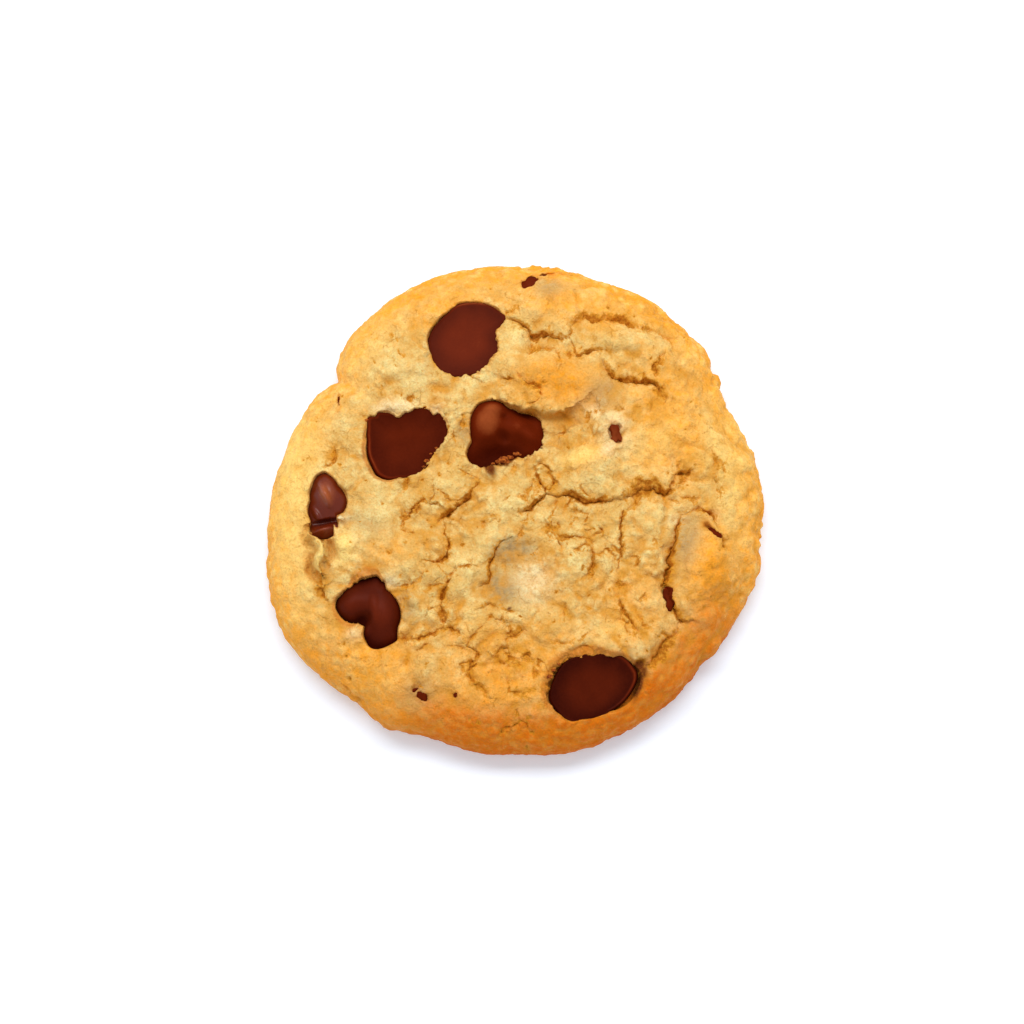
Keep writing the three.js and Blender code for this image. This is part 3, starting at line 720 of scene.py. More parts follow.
d, lip_fade, side = overhang_at(x, y)
lip = np.where(side > 0, 1 - smooth(d / LIP_FROM), -(1 - smooth(d / LIP_TO))) * smooth((d + 0.1) / 0.5)
height = top_height(x, y) + 0.5 * LIP_STEP * lip_fade * lip
furrow, d = furrow_at(x, y)
height = height + STRAND_RISE * np.sqrt(np.clip(1 - (d / STRAND_WIDTH) ** 2, 0, 1)) - FURROW_DEPTH * furrow
place_points(dough, np.column_stack((x, y, height)) * MM)
below = [(down * MM, scale) for down, scale in UNDERCUT] + [(0, scale) for scale in BASE_RINGS]
pull_rim(dough, below, (MIDDLE[0] * MM, MIDDLE[1] * MM))
print("closed dough:", sum(len(p.vertices) - 2 for p in dough.data.polygons), "triangles")

# %% [markdown]
# ### Tears, lumps and pits of the crust
# Every kind of relief is a height in millimetres along the normal. A Displace modifier could give the lumps,
# but not say where a crease lies. Sums in code do both: the same ones say where a tear, a crease or a pit is,
# which the crust's material reads back as attributes.

# %% Relief of the tears
SAG = 0.34  # how far the crust dips beside a tear
TEAR_REACH = 3
STEP_SHARE = 0.8
STEP_REACH = 2.6
FULL_DEPTH = 0.7  # a tear this deep shows the darkest crumb

points = points_of(dough) / MM
normals = np.zeros(len(points) * 3)
dough.data.vertices.foreach_get("normal", normals)
normals = normals.reshape(-1, 3)
x, y, z = points.T
inset, _ = inset_of(x, y)
on_top = (normals[:, 2] > 0.02) & (z > WIDEST_AT + 0.3)
top_share = np.where(on_top, smooth((z - WIDEST_AT) / 2.5), 0)
centre_share = smooth((inset - 2.5) / 7)
wx, wy = wander(x, y)
uneven = 0.7 + noise_at(x, y, z + 30, 0.9) + noise_at(x, y, z + 34, 2.4)

relief = np.zeros(len(x))
step_relief = np.zeros(len(x))
tear = np.zeros(len(x))
for half_width, depth, step, route in TEARS:
    close = within_reach(route, wx, wy, TEAR_REACH)
    d, _, _, share, side = nearest_on_route(route, wx[close], wy[close])
    fade = np.sin(math.pi * np.clip(share, 0.05, 0.95)) ** 0.5
    width = 1.35 * half_width * np.clip(uneven[close], 0.3, 1.5) * (0.5 + 0.5 * fade)
    shallow = np.clip(1.6 * width / half_width, 0.45, 1)
    strong = min(1, depth / FULL_DEPTH)
    groove = shallow * 0.9 * depth * fade * (1 - smooth(d / (1.2 * width)))
    groove = groove + SAG * strong * fade * np.exp(-((d / 0.9) ** 2))
    relief[close] = np.minimum(relief[close], -groove)
    core = (0.25 + 0.75 * strong) * fade * shallow * (1 - smooth((d - 0.6 * width) / (0.8 * width)))
    halo = 0.45 * strong * fade * np.exp(-((d / 0.8) ** 2))
    tear[close] = np.maximum(tear[close], np.maximum(core, halo))
    step_relief[close] += STEP_SHARE * step * side * fade * (1 - smooth(d / STEP_REACH))
relief = relief + step_relief * top_share
print(f"tears down to {-relief.min():.2f} mm")

# %% Lumps, creases and grain
WIDENED = 1.6  # a share fades to its ellipse's edge, so ellipses drawn to what shows are read wider

patchy = smooth(0.55 + 0.9 * noise_at(x, y, z + 60, 5))
broad = 0.5 * lumps_at(wx, wy, z, 4.5) + 0.5 * cobbles_at(wx, wy, z, 4.2)
middling = 1 - patchy * (1 - cobbles_at(wx, wy, z + 13, 1.9))
small = 1 - (0.3 + 0.7 * patchy) * (1 - cobbles_at(wx, wy, z + 17, 1.15))
lumps = 0.9 * (broad - 0.65) + 0.56 * (middling - 0.75) + 0.23 * (small - 0.7)
grain = 0.07 * noise_at(x, y, z + 5, 0.5, 2)
pebbly_side = 0.6 * smooth((x + 0.4 * y) / 20)
roughness = 0.35 + 0.65 * np.maximum(centre_share, pebbly_side)
for cx, cy, long, short, turn, strength in SMOOTH_PLATES:
    share = share_of_ellipse(x, y, cx, cy, WIDENED * long, WIDENED * short, turn)
    roughness = roughness * (1 - 0.7 * strength * share)
relief = relief + (lumps * roughness + grain) * np.where(z < 0.3, 0.2, 1)
# Creases between lumps get a darker colour from this mask: painted shade.
crease = np.maximum(1 - smooth(broad / 0.5), 0.85 * (1 - smooth(middling / 0.6)))
crease = np.maximum(crease, 0.7 * (1 - smooth(small / 0.6)))
crease = crease * smooth((noise_at(x, y, z + 40, 1.5) + 0.4) / 0.5)
print(f"relief from {relief.min():.2f} to {relief.max():.2f} mm")

# %% Pits
PITS = [  # place and radius of the pits that show most
    (-17.3, 23.3, 0.55), (-16.3, 22.4, 0.3), (-15.7, 20.3, 0.42), (-17.9, 20.4, 0.25), (-16.7, 18.6, 0.35),
    (-12.9, 18, 0.25), (-19.9, 24, 0.3), (13, 27.9, 0.35), (16.9, 26.4, 0.35), (-18.4, -0.6, 0.3),
    (-17, -7.2, 0.5), (-14.9, -5.9, 0.3), (-24.2, 4.8, 0.4), (-7.3, -6.4, 0.5), (10.9, -4.2, 0.3),
    (-23.6, -19.7, 0.4), (-22.9, -21.6, 0.35), (-22.6, -24.5, 0.35), (-3.4, -16.5, 0.45), (14.2, -19, 0.35),
    (15.3, -19.5, 0.3), (18, -20.9, 0.3), (10, -15, 0.4), (-6.2, -30.4, 0.4), (-5, -30.7, 0.35),
    (-2.1, -31.9, 0.4), (2.1, -31.9, 0.4), (1.7, -34, 0.4), (-10.5, 3.5, 0.3), (21, 3.3, 0.4),
    (-9.3, -1.8, 0.45), (17, -22.5, 0.75),
]
SCATTERED_PITS = 320
SCATTER_REACH = 31
LEAST_PIT = 0.12
WIDEST_PIT = 0.34
PIT_DEPTH = 0.9  # share of a pit's radius

rng = np.random.default_rng(7)
scatter_angle = rng.uniform(0, 2 * math.pi, SCATTERED_PITS)
scatter_out = SCATTER_REACH * np.sqrt(rng.uniform(0, 1, SCATTERED_PITS))
scatter_radius = LEAST_PIT + (WIDEST_PIT - LEAST_PIT) * rng.uniform(0, 1, SCATTERED_PITS) ** 3
scattered = zip(scatter_out * np.cos(scatter_angle), scatter_out * np.sin(scatter_angle), scatter_radius)
pit = np.zeros(len(x))
for px, py, size in [*PITS, *scattered]:
    close = (np.abs(x - px) < 2 * size) & (np.abs(y - py) < 2 * size) & on_top
    d = np.hypot(wx[close] - px, wy[close] - py)
    depth = 1 - smooth(d / (1.4 * size))
    pit[close] = np.maximum(pit[close], depth)
    relief[close] -= PIT_DEPTH * size * depth
print("pits cover", int((pit > 0.5).sum()), "points")

# %% [markdown]
# ### Opening the pockets
# Inside a pocket the dough drops below the chip's top, so the chip hides its floor. Boolean cuts would leave
# sharp edges and slivers, so the mesh is lowered instead: its points already lie along each pocket's edge.

# %% Pockets in the dough
WALL_LEAST = 0.05
drop = np.zeros(len(x))
wall_share = np.zeros(len(x))
for pocket in POCKETS.values():
    d, angle = pocket_distance(pocket, x, y)
    close = (d < 3) & on_top
    coarse = noise_at(x[close], y[close], z[close], 0.75)
    jagged = coarse + 0.6 * noise_at(x[close], y[close], z[close] + 3, 0.35)
    d[close] += at_sides(pocket["torn"], angle[close]) * 2 * jagged
    wall = WALL_LEAST + at_sides(pocket["walls"], angle)
    down = pocket["sunk"] * (1 - smooth(d / wall)) + (pocket["depth"] - pocket["sunk"]) * smooth(-d / 0.3)
    drop = np.maximum(drop, np.where(close, down, 0))
    seen = smooth((wall - WALL_LEAST) / 0.35) * (1 - smooth((d - 0.8 * wall) / (0.4 * wall)))
    seen = np.maximum(seen, 0.8 * (1 - smooth(d / 0.22)))
    wall_share = np.maximum(wall_share, np.where(close, seen, 0))
for openings in SLITS.values():
    for cx, cy, long, short, turn, depth in openings:
        d = ellipse_distance(wx, wy, cx, cy, long, short, turn)
        d = d + min(0.3, 0.6 * short) * noise_at(x, y, z + 50, 0.8)
        drop = np.maximum(drop, depth * smooth((0.12 - d) / 0.3))
        wall_share = np.maximum(wall_share, 0.5 * (1 - smooth((d - 0.05) / 0.25)))
in_pocket = smooth(drop / 0.8)
surface = points + (relief * (1 - 0.6 * in_pocket))[:, None] * normals
level = surface.copy()
surface[:, 2] -= np.where(on_top, drop, 0)
surface[:, 2] = np.maximum(surface[:, 2], 0)
place_points(dough, surface * MM)
smooth_faces(dough)
print(f"dough box {np.ptp(surface, axis=0).round(2)} mm, top at {surface[:, 2].max():.2f}")

# %% The crust's level
top_points = kdtree.KDTree(int(on_top.sum()))
for i, point in enumerate(level[on_top]):
    top_points.insert((point[0], point[1], 0), i)
top_points.balance()
top_level = level[on_top, 2]


def level_at(px, py):
    """Height of the crust before its pockets, at each place."""
    return np.array([top_level[top_points.find((a, b, 0))[1]] for a, b in zip(px, py)])


print(len(top_level), "points tell the crust's level")

# %% [markdown]
# ### What the crust's material reads
# Browning is deepest where the dough is thin and hot: the foot of the edge, and one side that stood nearer
# the oven's fan. That near side and the foot face away from the lamp, so their darker colour is partly
# painted shade. Some patches are painted light on rims, lumps and the strand, and the patches of hollows are
# painted shade in hollows and cracks. Dough over a buried chip stays grey and pale. These could be painted
# as vertex colours. Kept as ellipses, with their places and strengths, they stay easy to read and to move.

# %% Patches
PATCHES = {  # name: place, half length and width, turn, strength
    "grey": [
        (-0.6, -7.2, 3.2, 2.0, 10, 1.6), (-1.8, -12.2, 2.4, 3.0, 60, 1.0), (12.2, 15.1, 2.6, 2, 0, 0.8),
        (4.8, 30.2, 2.4, 1.8, 0, 0.8), (23.4, -5.6, 4.2, 2.0, 75, 0.85), (-15.4, -14.4, 1.5, 3.0, 20, 0.8),
        (-13.2, -26.4, 2.6, 2.2, 0, 0.7), (-20.6, -3.2, 3.6, 1.6, -20, 0.5), (-7, 9.4, 1.2, 1.8, 10, 0.8),
        (15, -22, 2, 1.6, 40, 0.6), (-12.6, 18, 3, 1, 60, 0.2),
    ],
    "pale": [
        (2.4, -11.4, 3.4, 3.2, 0, 0.9), (-16.8, 13, 3, 1.1, 5, 1.0), (-11, 12.8, 1.1, 0.8, 0, 1.0),
        (12.6, 7, 1.5, 1, 30, 0.8), (10.6, 13, 2.4, 2.2, 0, 0.6), (13.6, 9.6, 2.6, 3.2, 0, 0.6),
        (-24, -2.7, 1.5, 0.8, 0, 0.9), (27, -2.4, 1.4, 1, 0, 0.3), (22, -2.8, 1.4, 1, 0, 0.4),
        (-22, -18.4, 1.4, 1.2, 0, 0.6), (-16.9, -11.3, 1.2, 1, 0, 0.8),
    ],
    "gold": [
        (6, 16.5, 7, 4.5, 0, 0.9), (9, 28, 14, 4, -10, 0.7), (22, 12, 8, 12, 0, 0.7),
        (27, -10, 5, 9, 0, 0.9), (-20, -24, 10, 7, -45, 0.9), (0, -25, 14, 8, 0, 0.6),
        (-9, 28, 8, 3.5, 15, 0.7), (10, 6, 3, 2, 30, 0.6), (-30, 0, 2.5, 16, 0, 0.3), (16, -15, 5, 6, 0, 0.5),
        (-22, 25, 5, 3, 45, 0.3), (-17, -7, 4, 3, 0, 0.4),
    ],
    # painted light on rims, lumps and the strand
    "butter": [
        (-31, 4, 4.5, 20, 4, 0.9), (30, 6, 5, 12, 0, 0.6), (26, 20, 5, 8, 45, 0.15),
        (-23.4, -6.8, 1.6, 2.4, 0, 1.4), (-29.5, -5, 3, 9, 0, 0.7), (8.6, 6, 2.6, 1.4, 20, 1.1),
        (0.8, 24.4, 1.6, 1.2, 0, 0.6), (-23, 22, 7, 5, 45, 0.4), (13.5, -18, 2.4, 1.8, 0, 0.6),
        (-19, -25, 6, 4, -45, 0.2), (31.5, -8, 2.6, 6, 0, 0.15), (20, 9, 5, 3.4, 30, 0.4),
        (-28, -15, 3, 5, 30, 0.1),
    ],
    "smooth": SMOOTH_PLATES,
    # painted shade in hollows and cracks
    "hollow": [
        (-28.0, -9.6, 3.0, 0.6, -80, 0.7), (5.8, 10.9, 3.6, 1.2, 5, 0.6), (-28.4, -8.2, 2.6, 0.8, 80, 0.4),
        (6, 16.8, 6, 3.2, 0, 0.35), (17, -22.6, 1, 0.8, 40, 0.9), (-25.6, 6.2, 1.8, 0.4, 70, 0.4),
        (27.5, 2, 3.4, 0.6, 85, 0.5), (26.2, -3.6, 1.2, 0.7, -60, 0.9), (19.6, 1.0, 2, 0.5, -10, 0.9),
        (-11.4, 13.9, 1.2, 0.5, 60, 0.5), (-6.8, 10, 0.5, 1.6, 0, 0.6), (23.6, 18, 3.4, 0.6, -50, 0.4),
        (9, 25, 1.2, 0.5, 60, 0.4), (-19.9, -9.3, 2.6, 0.6, -8, 0.9), (21.2, -10, 0.6, 5, 5, 0.5),
    ],
    "smear": [(17, -25, 2.2, 0.5, 66, 2.0), (16.9, -23, 0.8, 0.7, 0, 2.0),
              (-3.3, 4.2, 1.2, 0.6, -60, 1.6), (-1.2, 5.3, 1.6, 0.3, 25, 1.6), (-1, -15.3, 0.3, 0.3, 0, 1.0)],
}
print("patches:", ", ".join(PATCHES))

# %% Crust attributes
# Painted light along the strand.
STRAND_PAINTED_LIGHT = 0.8
# Painted shade in the furrows beside the strand.
FURROW_SHADE = 0.55
UNDER_LIP_SHADE = 0.85  # painted shade on the overhang's edge and the strip below it: how dark, and how wide that strip is
UNDER_LIP_SHADE_WIDTH = 1.8
NEAR_SIDE_TURN = 0.25  # the near side is darker, turned this much to the right: it browned most, and as it faces away from the lamp it also gets painted shade
NEAR_SIDE_OVER = 25.93
NEAR_SIDE_FROM = 0.3
LESS_DARKENED = [(-20, -24, 14, 10, -45), (32, -8, 6, 12, 0)]  # stretches of the near side that are darkened less, by browning and by painted shade
LESS_DARKENED_BY = 0.8
FOOT_UP_TO = 6.0

furrow, away = furrow_at(x, y)
d, lip_fade, side = overhang_at(x, y)
under = lip_fade * np.where(side > 0, 1 - smooth(d / 0.3), 1 - smooth(d / UNDER_LIP_SHADE_WIDTH))
along_lines = {
    "butter": STRAND_PAINTED_LIGHT * (1 - smooth(away / STRAND_WIDTH)),
    "hollow": np.maximum(FURROW_SHADE * furrow, UNDER_LIP_SHADE * under),
}
for name, table in PATCHES.items():
    total = along_lines.get(name, np.zeros(len(x)))
    for cx, cy, long, short, turn, strength in table:
        share = share_of_ellipse(wx, wy, cx, cy, WIDENED * long, WIDENED * short, turn)
        total = np.maximum(total, strength * share)
    keep_on(dough, name, total * top_share)
keep_on(dough, "tear", tear * top_share * (1 - in_pocket))
keep_on(dough, "crease", crease * top_share * roughness)
keep_on(dough, "pit", pit * (1 - in_pocket))
keep_on(dough, "wall", wall_share * top_share)
keep_on(dough, "edge", 1 - smooth(inset / 8))
# The near side and the foot are darker: partly browning, partly painted shade where they face away from the
# lamp.
hot_side = smooth((NEAR_SIDE_TURN * x - y) / NEAR_SIDE_OVER - NEAR_SIDE_FROM)
for ellipse in LESS_DARKENED:
    hot_side = hot_side * (1 - LESS_DARKENED_BY * share_of_ellipse(x, y, *ellipse))
keep_on(dough, "hot_side", hot_side)
keep_on(dough, "foot", (1 - smooth((surface[:, 2] - 1) / (FOOT_UP_TO - 1))) * (0.05 + 0.9 * hot_side))
print("attributes:", [a.name for a in dough.data.attributes if a.data_type == "FLOAT"])

# %% [markdown]
# ## Chocolate chips
# A baking chip is a drop that was piped on a belt: a flat round base and a cone. Most lie with the base up.
# In the oven the base sags into a shallow dish inside its rim. Three lie on their sides or melted into
# lumps. A cone primitive would be round, but these have taken the outlines of their pockets. So each is a
# small round sheet that rolls over at its rim, closed below by a cone. It lies in the plane that the dough
# round its pocket makes, a little lower, and reaches under the dough except where its rim shows.

# %% Chips
CHIP_CUTS = (5, 7)
RIMS = {  # where a chip's own rim shows: direction, spread, and how far it stands back from the pocket's edge
    "chip_disc_upper": [(150, 50, 0.3)],
    "chip_disc_middle": [(205, 50, 0.4)],
    "chip_disc_lower": [(352, 34, 1.5), (175, 35, 0.9)],
    "chip_lump_valley": [],
    "chip_cone_left": [],
    "chip_lobed_left": [(190, 25, 0.3)],
}
TONES = {  # chip: darkest, middle and lightest tone, from 0 dark to 1 milky, and how glossy it is; the darkest tone is partly painted shade and the lightest partly painted light
    "chip_disc_upper": (0.24, 0.48, 0.68, 0.25),
    "chip_disc_middle": (0.16, 0.3, 0.56, 0.2),
    "chip_disc_lower": (0.06, 0.27, 0.46, 0.25),
    "chip_lump_valley": (0.1, 0.4, 0.74, 0.1),
    "chip_cone_left": (0.2, 0.46, 0.82, 0.9),
    "chip_lobed_left": (0.0, 0.22, 0.42, 0.3),
}
REACH_UNDER = 0.5
LUMPS = {  # each lump: place, half length and width, turn, height
    "chip_lump_valley": [
        (-3.9, 11, 3.4, 2.9, 70, 1.9), (-2.8, 12.9, 1.8, 1.4, 0, 0.7), (0.3, 10.3, 2, 1.8, 10, 0.9),
        (2.2, 8.9, 1.6, 1.4, 0, 0.7), (-1.7, 9, 1.1, 0.9, -30, -0.6), (-1.5, 11.6, 0.6, 0.5, 0, -0.25),
        (-2.6, 6.2, 5.5, 2.6, 12, -1.3), (1.4, 12, 1.8, 1, -30, -0.6)],
    "chip_cone_left": [
        (-25.9, 1.0, 3.9, 2.5, 105, 1.7), (-26.1, 0.6, 2.2, 0.6, 118, 0.6), (-27.3, -2.0, 1.3, 0.5, 120, 0.5),
        (-26.2, -4.3, 2.5, 1.1, 14, 1.3), (-26.3, -4.1, 2.0, 0.4, 16, 0.35), (-26, -2.9, 2.8, 0.45, 8, -0.8)],
    "chip_lobed_left": [
        (-22.3, -14.3, 3.6, 2.7, 40, 1.6), (-18.2, -15.6, 5.2, 2.9, 98, 1.7),
        (-19.3, -15.4, 2.6, 0.8, 92, 0.4), (-20.3, -18.2, 1.2, 0.7, 60, 0.35),
        (-21, -16.6, 1.6, 1.1, 30, -0.6)],
}
print(len(RIMS), "chips read")


# %% A chip's sheet, plane and underside
CHIP_DOWN = 3.0
CHIP_CONE = [(0.15, 0.985), (0.25, 0.85), (0.3, 0.7), (0.3, 0.4)]  # share of the way down, and scale


def chip_sheet(name):
    """A chip's sheet, each point's share of the way to the rim, and its place."""
    pocket = POCKETS[name]
    sheet, share, chip_direction = round_sheet("choc_" + name[5:], CHIP_CUTS)
    shows = np.minimum(at_sides([(at, spread, 1) for at, spread, _ in RIMS[name]], chip_direction), 1)
    stand_back = 0.5 * at_sides(RIMS[name], chip_direction)
    out = share * (pocket["reach"](chip_direction) + REACH_UNDER * (1 - shows) - stand_back)
    middle = pocket["middle"]
    return sheet, share, middle[0] + out * np.cos(chip_direction), middle[1] + out * np.sin(chip_direction)


def plane_round(pocket):
    """The plane that fits the dough round a pocket best: height = a x + b y + c."""
    angles = np.radians(np.arange(0, 360, 10))
    ring_out = pocket["reach"](angles) + 0.5
    px = pocket["middle"][0] + ring_out * np.cos(angles)
    py = pocket["middle"][1] + ring_out * np.sin(angles)
    return np.linalg.lstsq(np.column_stack((px, py, np.ones(len(px)))), level_at(px, py), rcond=None)[0]


def rolled_over(share, start):
    """0 up to a start, and from there down like a quarter of a circle, to 1 at the rim."""
    past = np.clip((share - start) / (1 - start), 0, 1)
    return 1 - np.sqrt(1 - past**2)


def finish_chip(chip, name, middle):
    """Closes a chip below with a cone and puts it in its CAD node's place."""
    below = [(CHIP_DOWN * share * MM, scale) for share, scale in CHIP_CONE]
    pull_rim(chip, below, (middle[0] * MM, middle[1] * MM))
    smooth_faces(chip)
    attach(chip, "root")
    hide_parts(name)
    _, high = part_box(name)
    print(chip.name, "top at", round(points_of(chip)[:, 2].max() / MM, 2), "CAD", round(high.z / MM, 2))


print("chips can be laid, levelled and closed")

# %% Flat chips and melted chips
DISH = 0.25  # how far the middle of a flat chip sags
DISC_ROLL = 0.8  # how far the rim of a flat chip turns down, and that of a lump
LUMP_ROLL = 1.5
LUMP_SUNK = 0.5
RIM_LIGHT = {  # direction and spread of the stretch of a flat chip's rim that catches light
    "chip_disc_upper": (75, 25),
    "chip_disc_middle": (190, 45),
    "chip_disc_lower": (15, 35),
}
chips = {}
for name, pocket in POCKETS.items():
    a, b, c = plane_round(pocket)
    chip, share, cx, cy = chip_sheet(name)
    zero = np.zeros(len(cx))
    if name in LUMPS:
        cz = -LUMP_SUNK - LUMP_ROLL * rolled_over(share, 0.6)
        for lx, ly, long, short, turn, rise in LUMPS[name]:
            cz = cz + rise * share_of_ellipse(cx, cy, lx, ly, 1.25 * long, 1.25 * short, turn)
        cz = cz + 0.08 * noise_at(cx, cy, zero, 2.0)
    else:
        cz = -DISH * (1 - np.minimum(share / 0.9, 1) ** 2) + 0.1 * np.exp(-(((share - 0.94) / 0.025) ** 2))
        cz = cz - DISC_ROLL * rolled_over(share, 0.94)
        cz = cz + 0.06 * noise_at(cx, cy, zero, 4.0) + 0.015 * noise_at(cx, cy, zero + 4, 1.2)
    plane = a * cx + b * cy + c - pocket["sunk"]
    place_points(chip, np.column_stack((cx, cy, plane + cz)) * MM)
    dark, middling_tone, light, gloss = TONES[name]
    # Lumps: high parts get lighter tones, as bloom and as painted light, and low parts darker, as painted
    # shade. Flat chips: painted shade darkens the outer part, and a painted highlight lies along the rim.
    if name in LUMPS:
        top = share < 0.9
        halfway = np.median(cz[top])
        above = (cz - halfway) / (cz[top].max() - halfway)
        below = (halfway - cz) / (halfway - np.percentile(cz[top], 8))
        tone = middling_tone + (light - middling_tone) * smooth(above) ** 1.4
        tone = tone - (middling_tone - dark) * smooth(below)
    else:
        toward = np.degrees(np.arctan2(cy - pocket["middle"][1], cx - pocket["middle"][0]))
        rim_line = np.exp(-(((share - 0.92) / 0.03) ** 2)) * bell(toward, *RIM_LIGHT[name])
        tone = middling_tone - (middling_tone - dark) * smooth((share - 0.35) / 0.6)
        tone = tone + 1.2 * (light - dark) * rim_line
    tone = tone + 0.05 * noise_at(cx, cy, zero + 9, 1.6)
    keep_on(chip, "tone", tone)
    keep_on(chip, "gloss", zero + gloss)
    finish_chip(chip, name, pocket["middle"])
    chips[name] = chip

# %% [markdown]
# ### Splinters
# Seven small tips of buried chips show through slits in the crust. The slit gives such a tip its outline, so
# there is no need to model a whole chip below. Each is a ball in its CAD node's box, flattened on top. Its
# top runs a little below the crust, so that it fills its slit.

# %% Splinters
SHARD_SUNK = 0.22
SHARD_OUTLINES = {
    "chip_splinter_hill": [(12.9, 10.4), (14, 10.3), (14.3, 9.6), (14.6, 9), (15, 7.9), (14.1, 8.2),
                           (13.4, 7.4), (13, 8.1), (13.3, 8.7), (13.1, 9.3)],
}
SHARD_TONES = {"chip_splinter_hill": 0.62}
SHARD_TONE = 0.42
SHARD_GLOSS = 0.2
for name in SLITS:
    low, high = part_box(name)
    centre = (low + high) / 2 / MM
    half = (high - low) / 2 / MM
    nothing_selected()
    bpy.ops.mesh.primitive_ico_sphere_add(subdivisions=5, radius=1)
    chip = bpy.context.object
    chip.name = "choc_" + name[5:]
    chip.data.name = chip.name
    ball = points_of(chip)
    boxy = np.sign(ball) * np.abs(ball) ** 0.6
    rough = 1 - 0.12 * np.abs(noise_at(*(ball * 2).T, 1.0, 2))
    px = centre[0] + half[0] * boxy[:, 0] * rough
    py = centre[1] + half[1] * boxy[:, 1] * rough
    if name in SHARD_OUTLINES:
        outline = SHARD_OUTLINES[name]
        middle = np.mean(outline, axis=0)
        angle = np.arctan2(ball[:, 1], ball[:, 0])
        out = np.hypot(ball[:, 0], ball[:, 1]) ** 0.5 * reach_function(middle, outline, 4)(angle)
        px = middle[0] + out * np.cos(angle)
        py = middle[1] + out * np.sin(angle)
    flattened = np.sign(ball[:, 2]) * np.abs(ball[:, 2]) ** 0.3
    pz = level_at(px, py) - SHARD_SUNK - (1 - flattened) * half[2] * rough
    place_points(chip, np.column_stack((px, py, pz)) * MM)
    smooth_faces(chip)
    keep_on(chip, "tone", SHARD_TONES.get(name, SHARD_TONE) + 0.2 * noise_at(*(ball * 1.5).T, 1.0))
    keep_on(chip, "gloss", SHARD_GLOSS + 0 * ball[:, 0])
    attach(chip, "root")
    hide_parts(name)
    chips[name] = chip
    print(chip.name, "top at", round(pz.max(), 2), "CAD", round(high.z / MM, 2))

# %% [markdown]
# ### Crumbs at torn edges
# Where the dough tore away from a melted chip, bits of it stayed in the chocolate and toasted darker. By lot
# they would land anywhere, so each is placed where one shows: a small ball, squashed and roughened, half sunk
# at the edge of its pocket.

# %% Crumbs
TOASTED_BITS = [  # place and radius
    (-1.6, 5.5, 0.5), (-0.8, 5.9, 0.36), (-2.4, 5.3, 0.3), (-3.1, 5.0, 0.2), (0.1, 6.4, 0.3),
    (0.6, 6.3, 0.18), (-1.1, 5.2, 0.24), (-11.6, 6.4, 0.2), (-12.2, 5.4, 0.28), (-12.7, 4.6, 0.16),
    (-10.9, 7.2, 0.18), (5.2, -23.5, 0.24), (4.6, -24.4, 0.3), (5.9, -22.7, 0.18), (-20.5, 11.2, 0.24),
]
BIT_SQUASH = (1.3, 0.8, 0.7)
BIT_SUNK = 0.3
bits = []
for i, (bx, by, size) in enumerate(TOASTED_BITS):
    nothing_selected()
    bpy.ops.mesh.primitive_ico_sphere_add(subdivisions=4, radius=size)
    bit = bpy.context.object
    bit.name = f"toasted_bit_{i + 1}"
    bit.data.name = bit.name
    ball = points_of(bit)
    rough = 1 + 0.45 * noise_at(*(ball / size).T + 7.3 * i, 0.8, 2)
    bz = level_at(np.array([bx]), np.array([by]))[0] - BIT_SUNK
    place_points(bit, (ball * rough[:, None] * BIT_SQUASH + (bx, by, bz)) * MM)
    smooth_faces(bit)
    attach(bit, "root")
    bits.append(bit)
print(len(bits), "crumbs")

# %% [markdown]
# ### Into the frame
# The photo was measured from the cookie's middle, and the CAD model is centred on its box, which differs by a
# fifth of a millimetre. All pieces move by that much together.

# %% Into the frame
TO_FRAME = (-0.015, -0.175, 0)
for piece in (dough, *chips.values(), *bits):
    place_points(piece, points_of(piece) + np.array(TO_FRAME) * MM)
print("moved", 1 + len(chips) + len(bits), "pieces")

# %% [markdown]
# ## Materials
# Everything a material reads is on the object itself: its own coordinates, in metres, and the attributes
# kept above. A finish could be one texture that somebody paints. Here it is a ground colour under thin coats,
# as baking lays them on, because each coat then has a cause and can be changed by itself. One small function
# adds a node with its settings and its links.

# %% Node helper
def new_material(name):
    material = bpy.data.materials.new(name)
    material.use_nodes = True
    material.node_tree.nodes.clear()
    return material, material.node_tree


def add(tree, kind, inputs=None, **settings):
    """Adds a node. Inputs are given by name or number, as values or as sockets to link from."""
    node = tree.nodes.new(kind)
    for key, value in settings.items():
        setattr(node, key, value)
    for key, value in (inputs or {}).items():
        if isinstance(value, bpy.types.NodeSocket):
            tree.links.new(value, node.inputs[key])
        else:
            node.inputs[key].default_value = value
    return node


print("node helper ready")

# %% [markdown]
# ### Coats of colour
# A coat shows where its masks let it: on a lump's top, in a tear, on the side that faced the heat. Each mask
# is read over a range, which sets how hard its edge is and how much it gives, and masks that have to hold
# together are multiplied. Grains are noise with bumps of a real size.

# %% Coats
RANGE = ("From Min", "From Max", "To Min", "To Max")


def share_where(tree, *masks):
    """The product of some masks. Each is a socket, the range read from it, and what that range becomes."""
    product = 1.0
    for socket, *limits in masks:
        share = add(tree, "ShaderNodeMapRange", {"Value": socket, **dict(zip(RANGE, limits))}).outputs[0]
        product = add(tree, "ShaderNodeMath", {0: product, 1: share}, operation="MULTIPLY").outputs[0]
    return product


def in_coats(tree, ground, coats):
    """A ground colour under coats of others. Each coat has a colour and the masks that it shows in."""
    colour = linear(ground)
    for paint, *masks in coats:
        coat = {0: share_where(tree, *masks), 6: colour, 7: linear(paint)}
        colour = add(tree, "ShaderNodeMix", coat, data_type="RGBA").outputs[2]
    return colour


def grains_of(tree, place, sizes):
    """Noise by name, from the size of its bumps in millimetres, its detail and its roughness."""
    grains = {}
    for name, (size, detail, rough) in sizes.items():
        inputs = {"Vector": place, "Scale": 1 / (size * MM), "Detail": detail, "Roughness": rough}
        grains[name] = add(tree, "ShaderNodeTexNoise", inputs).outputs[0]
    return grains


print("coats ready")
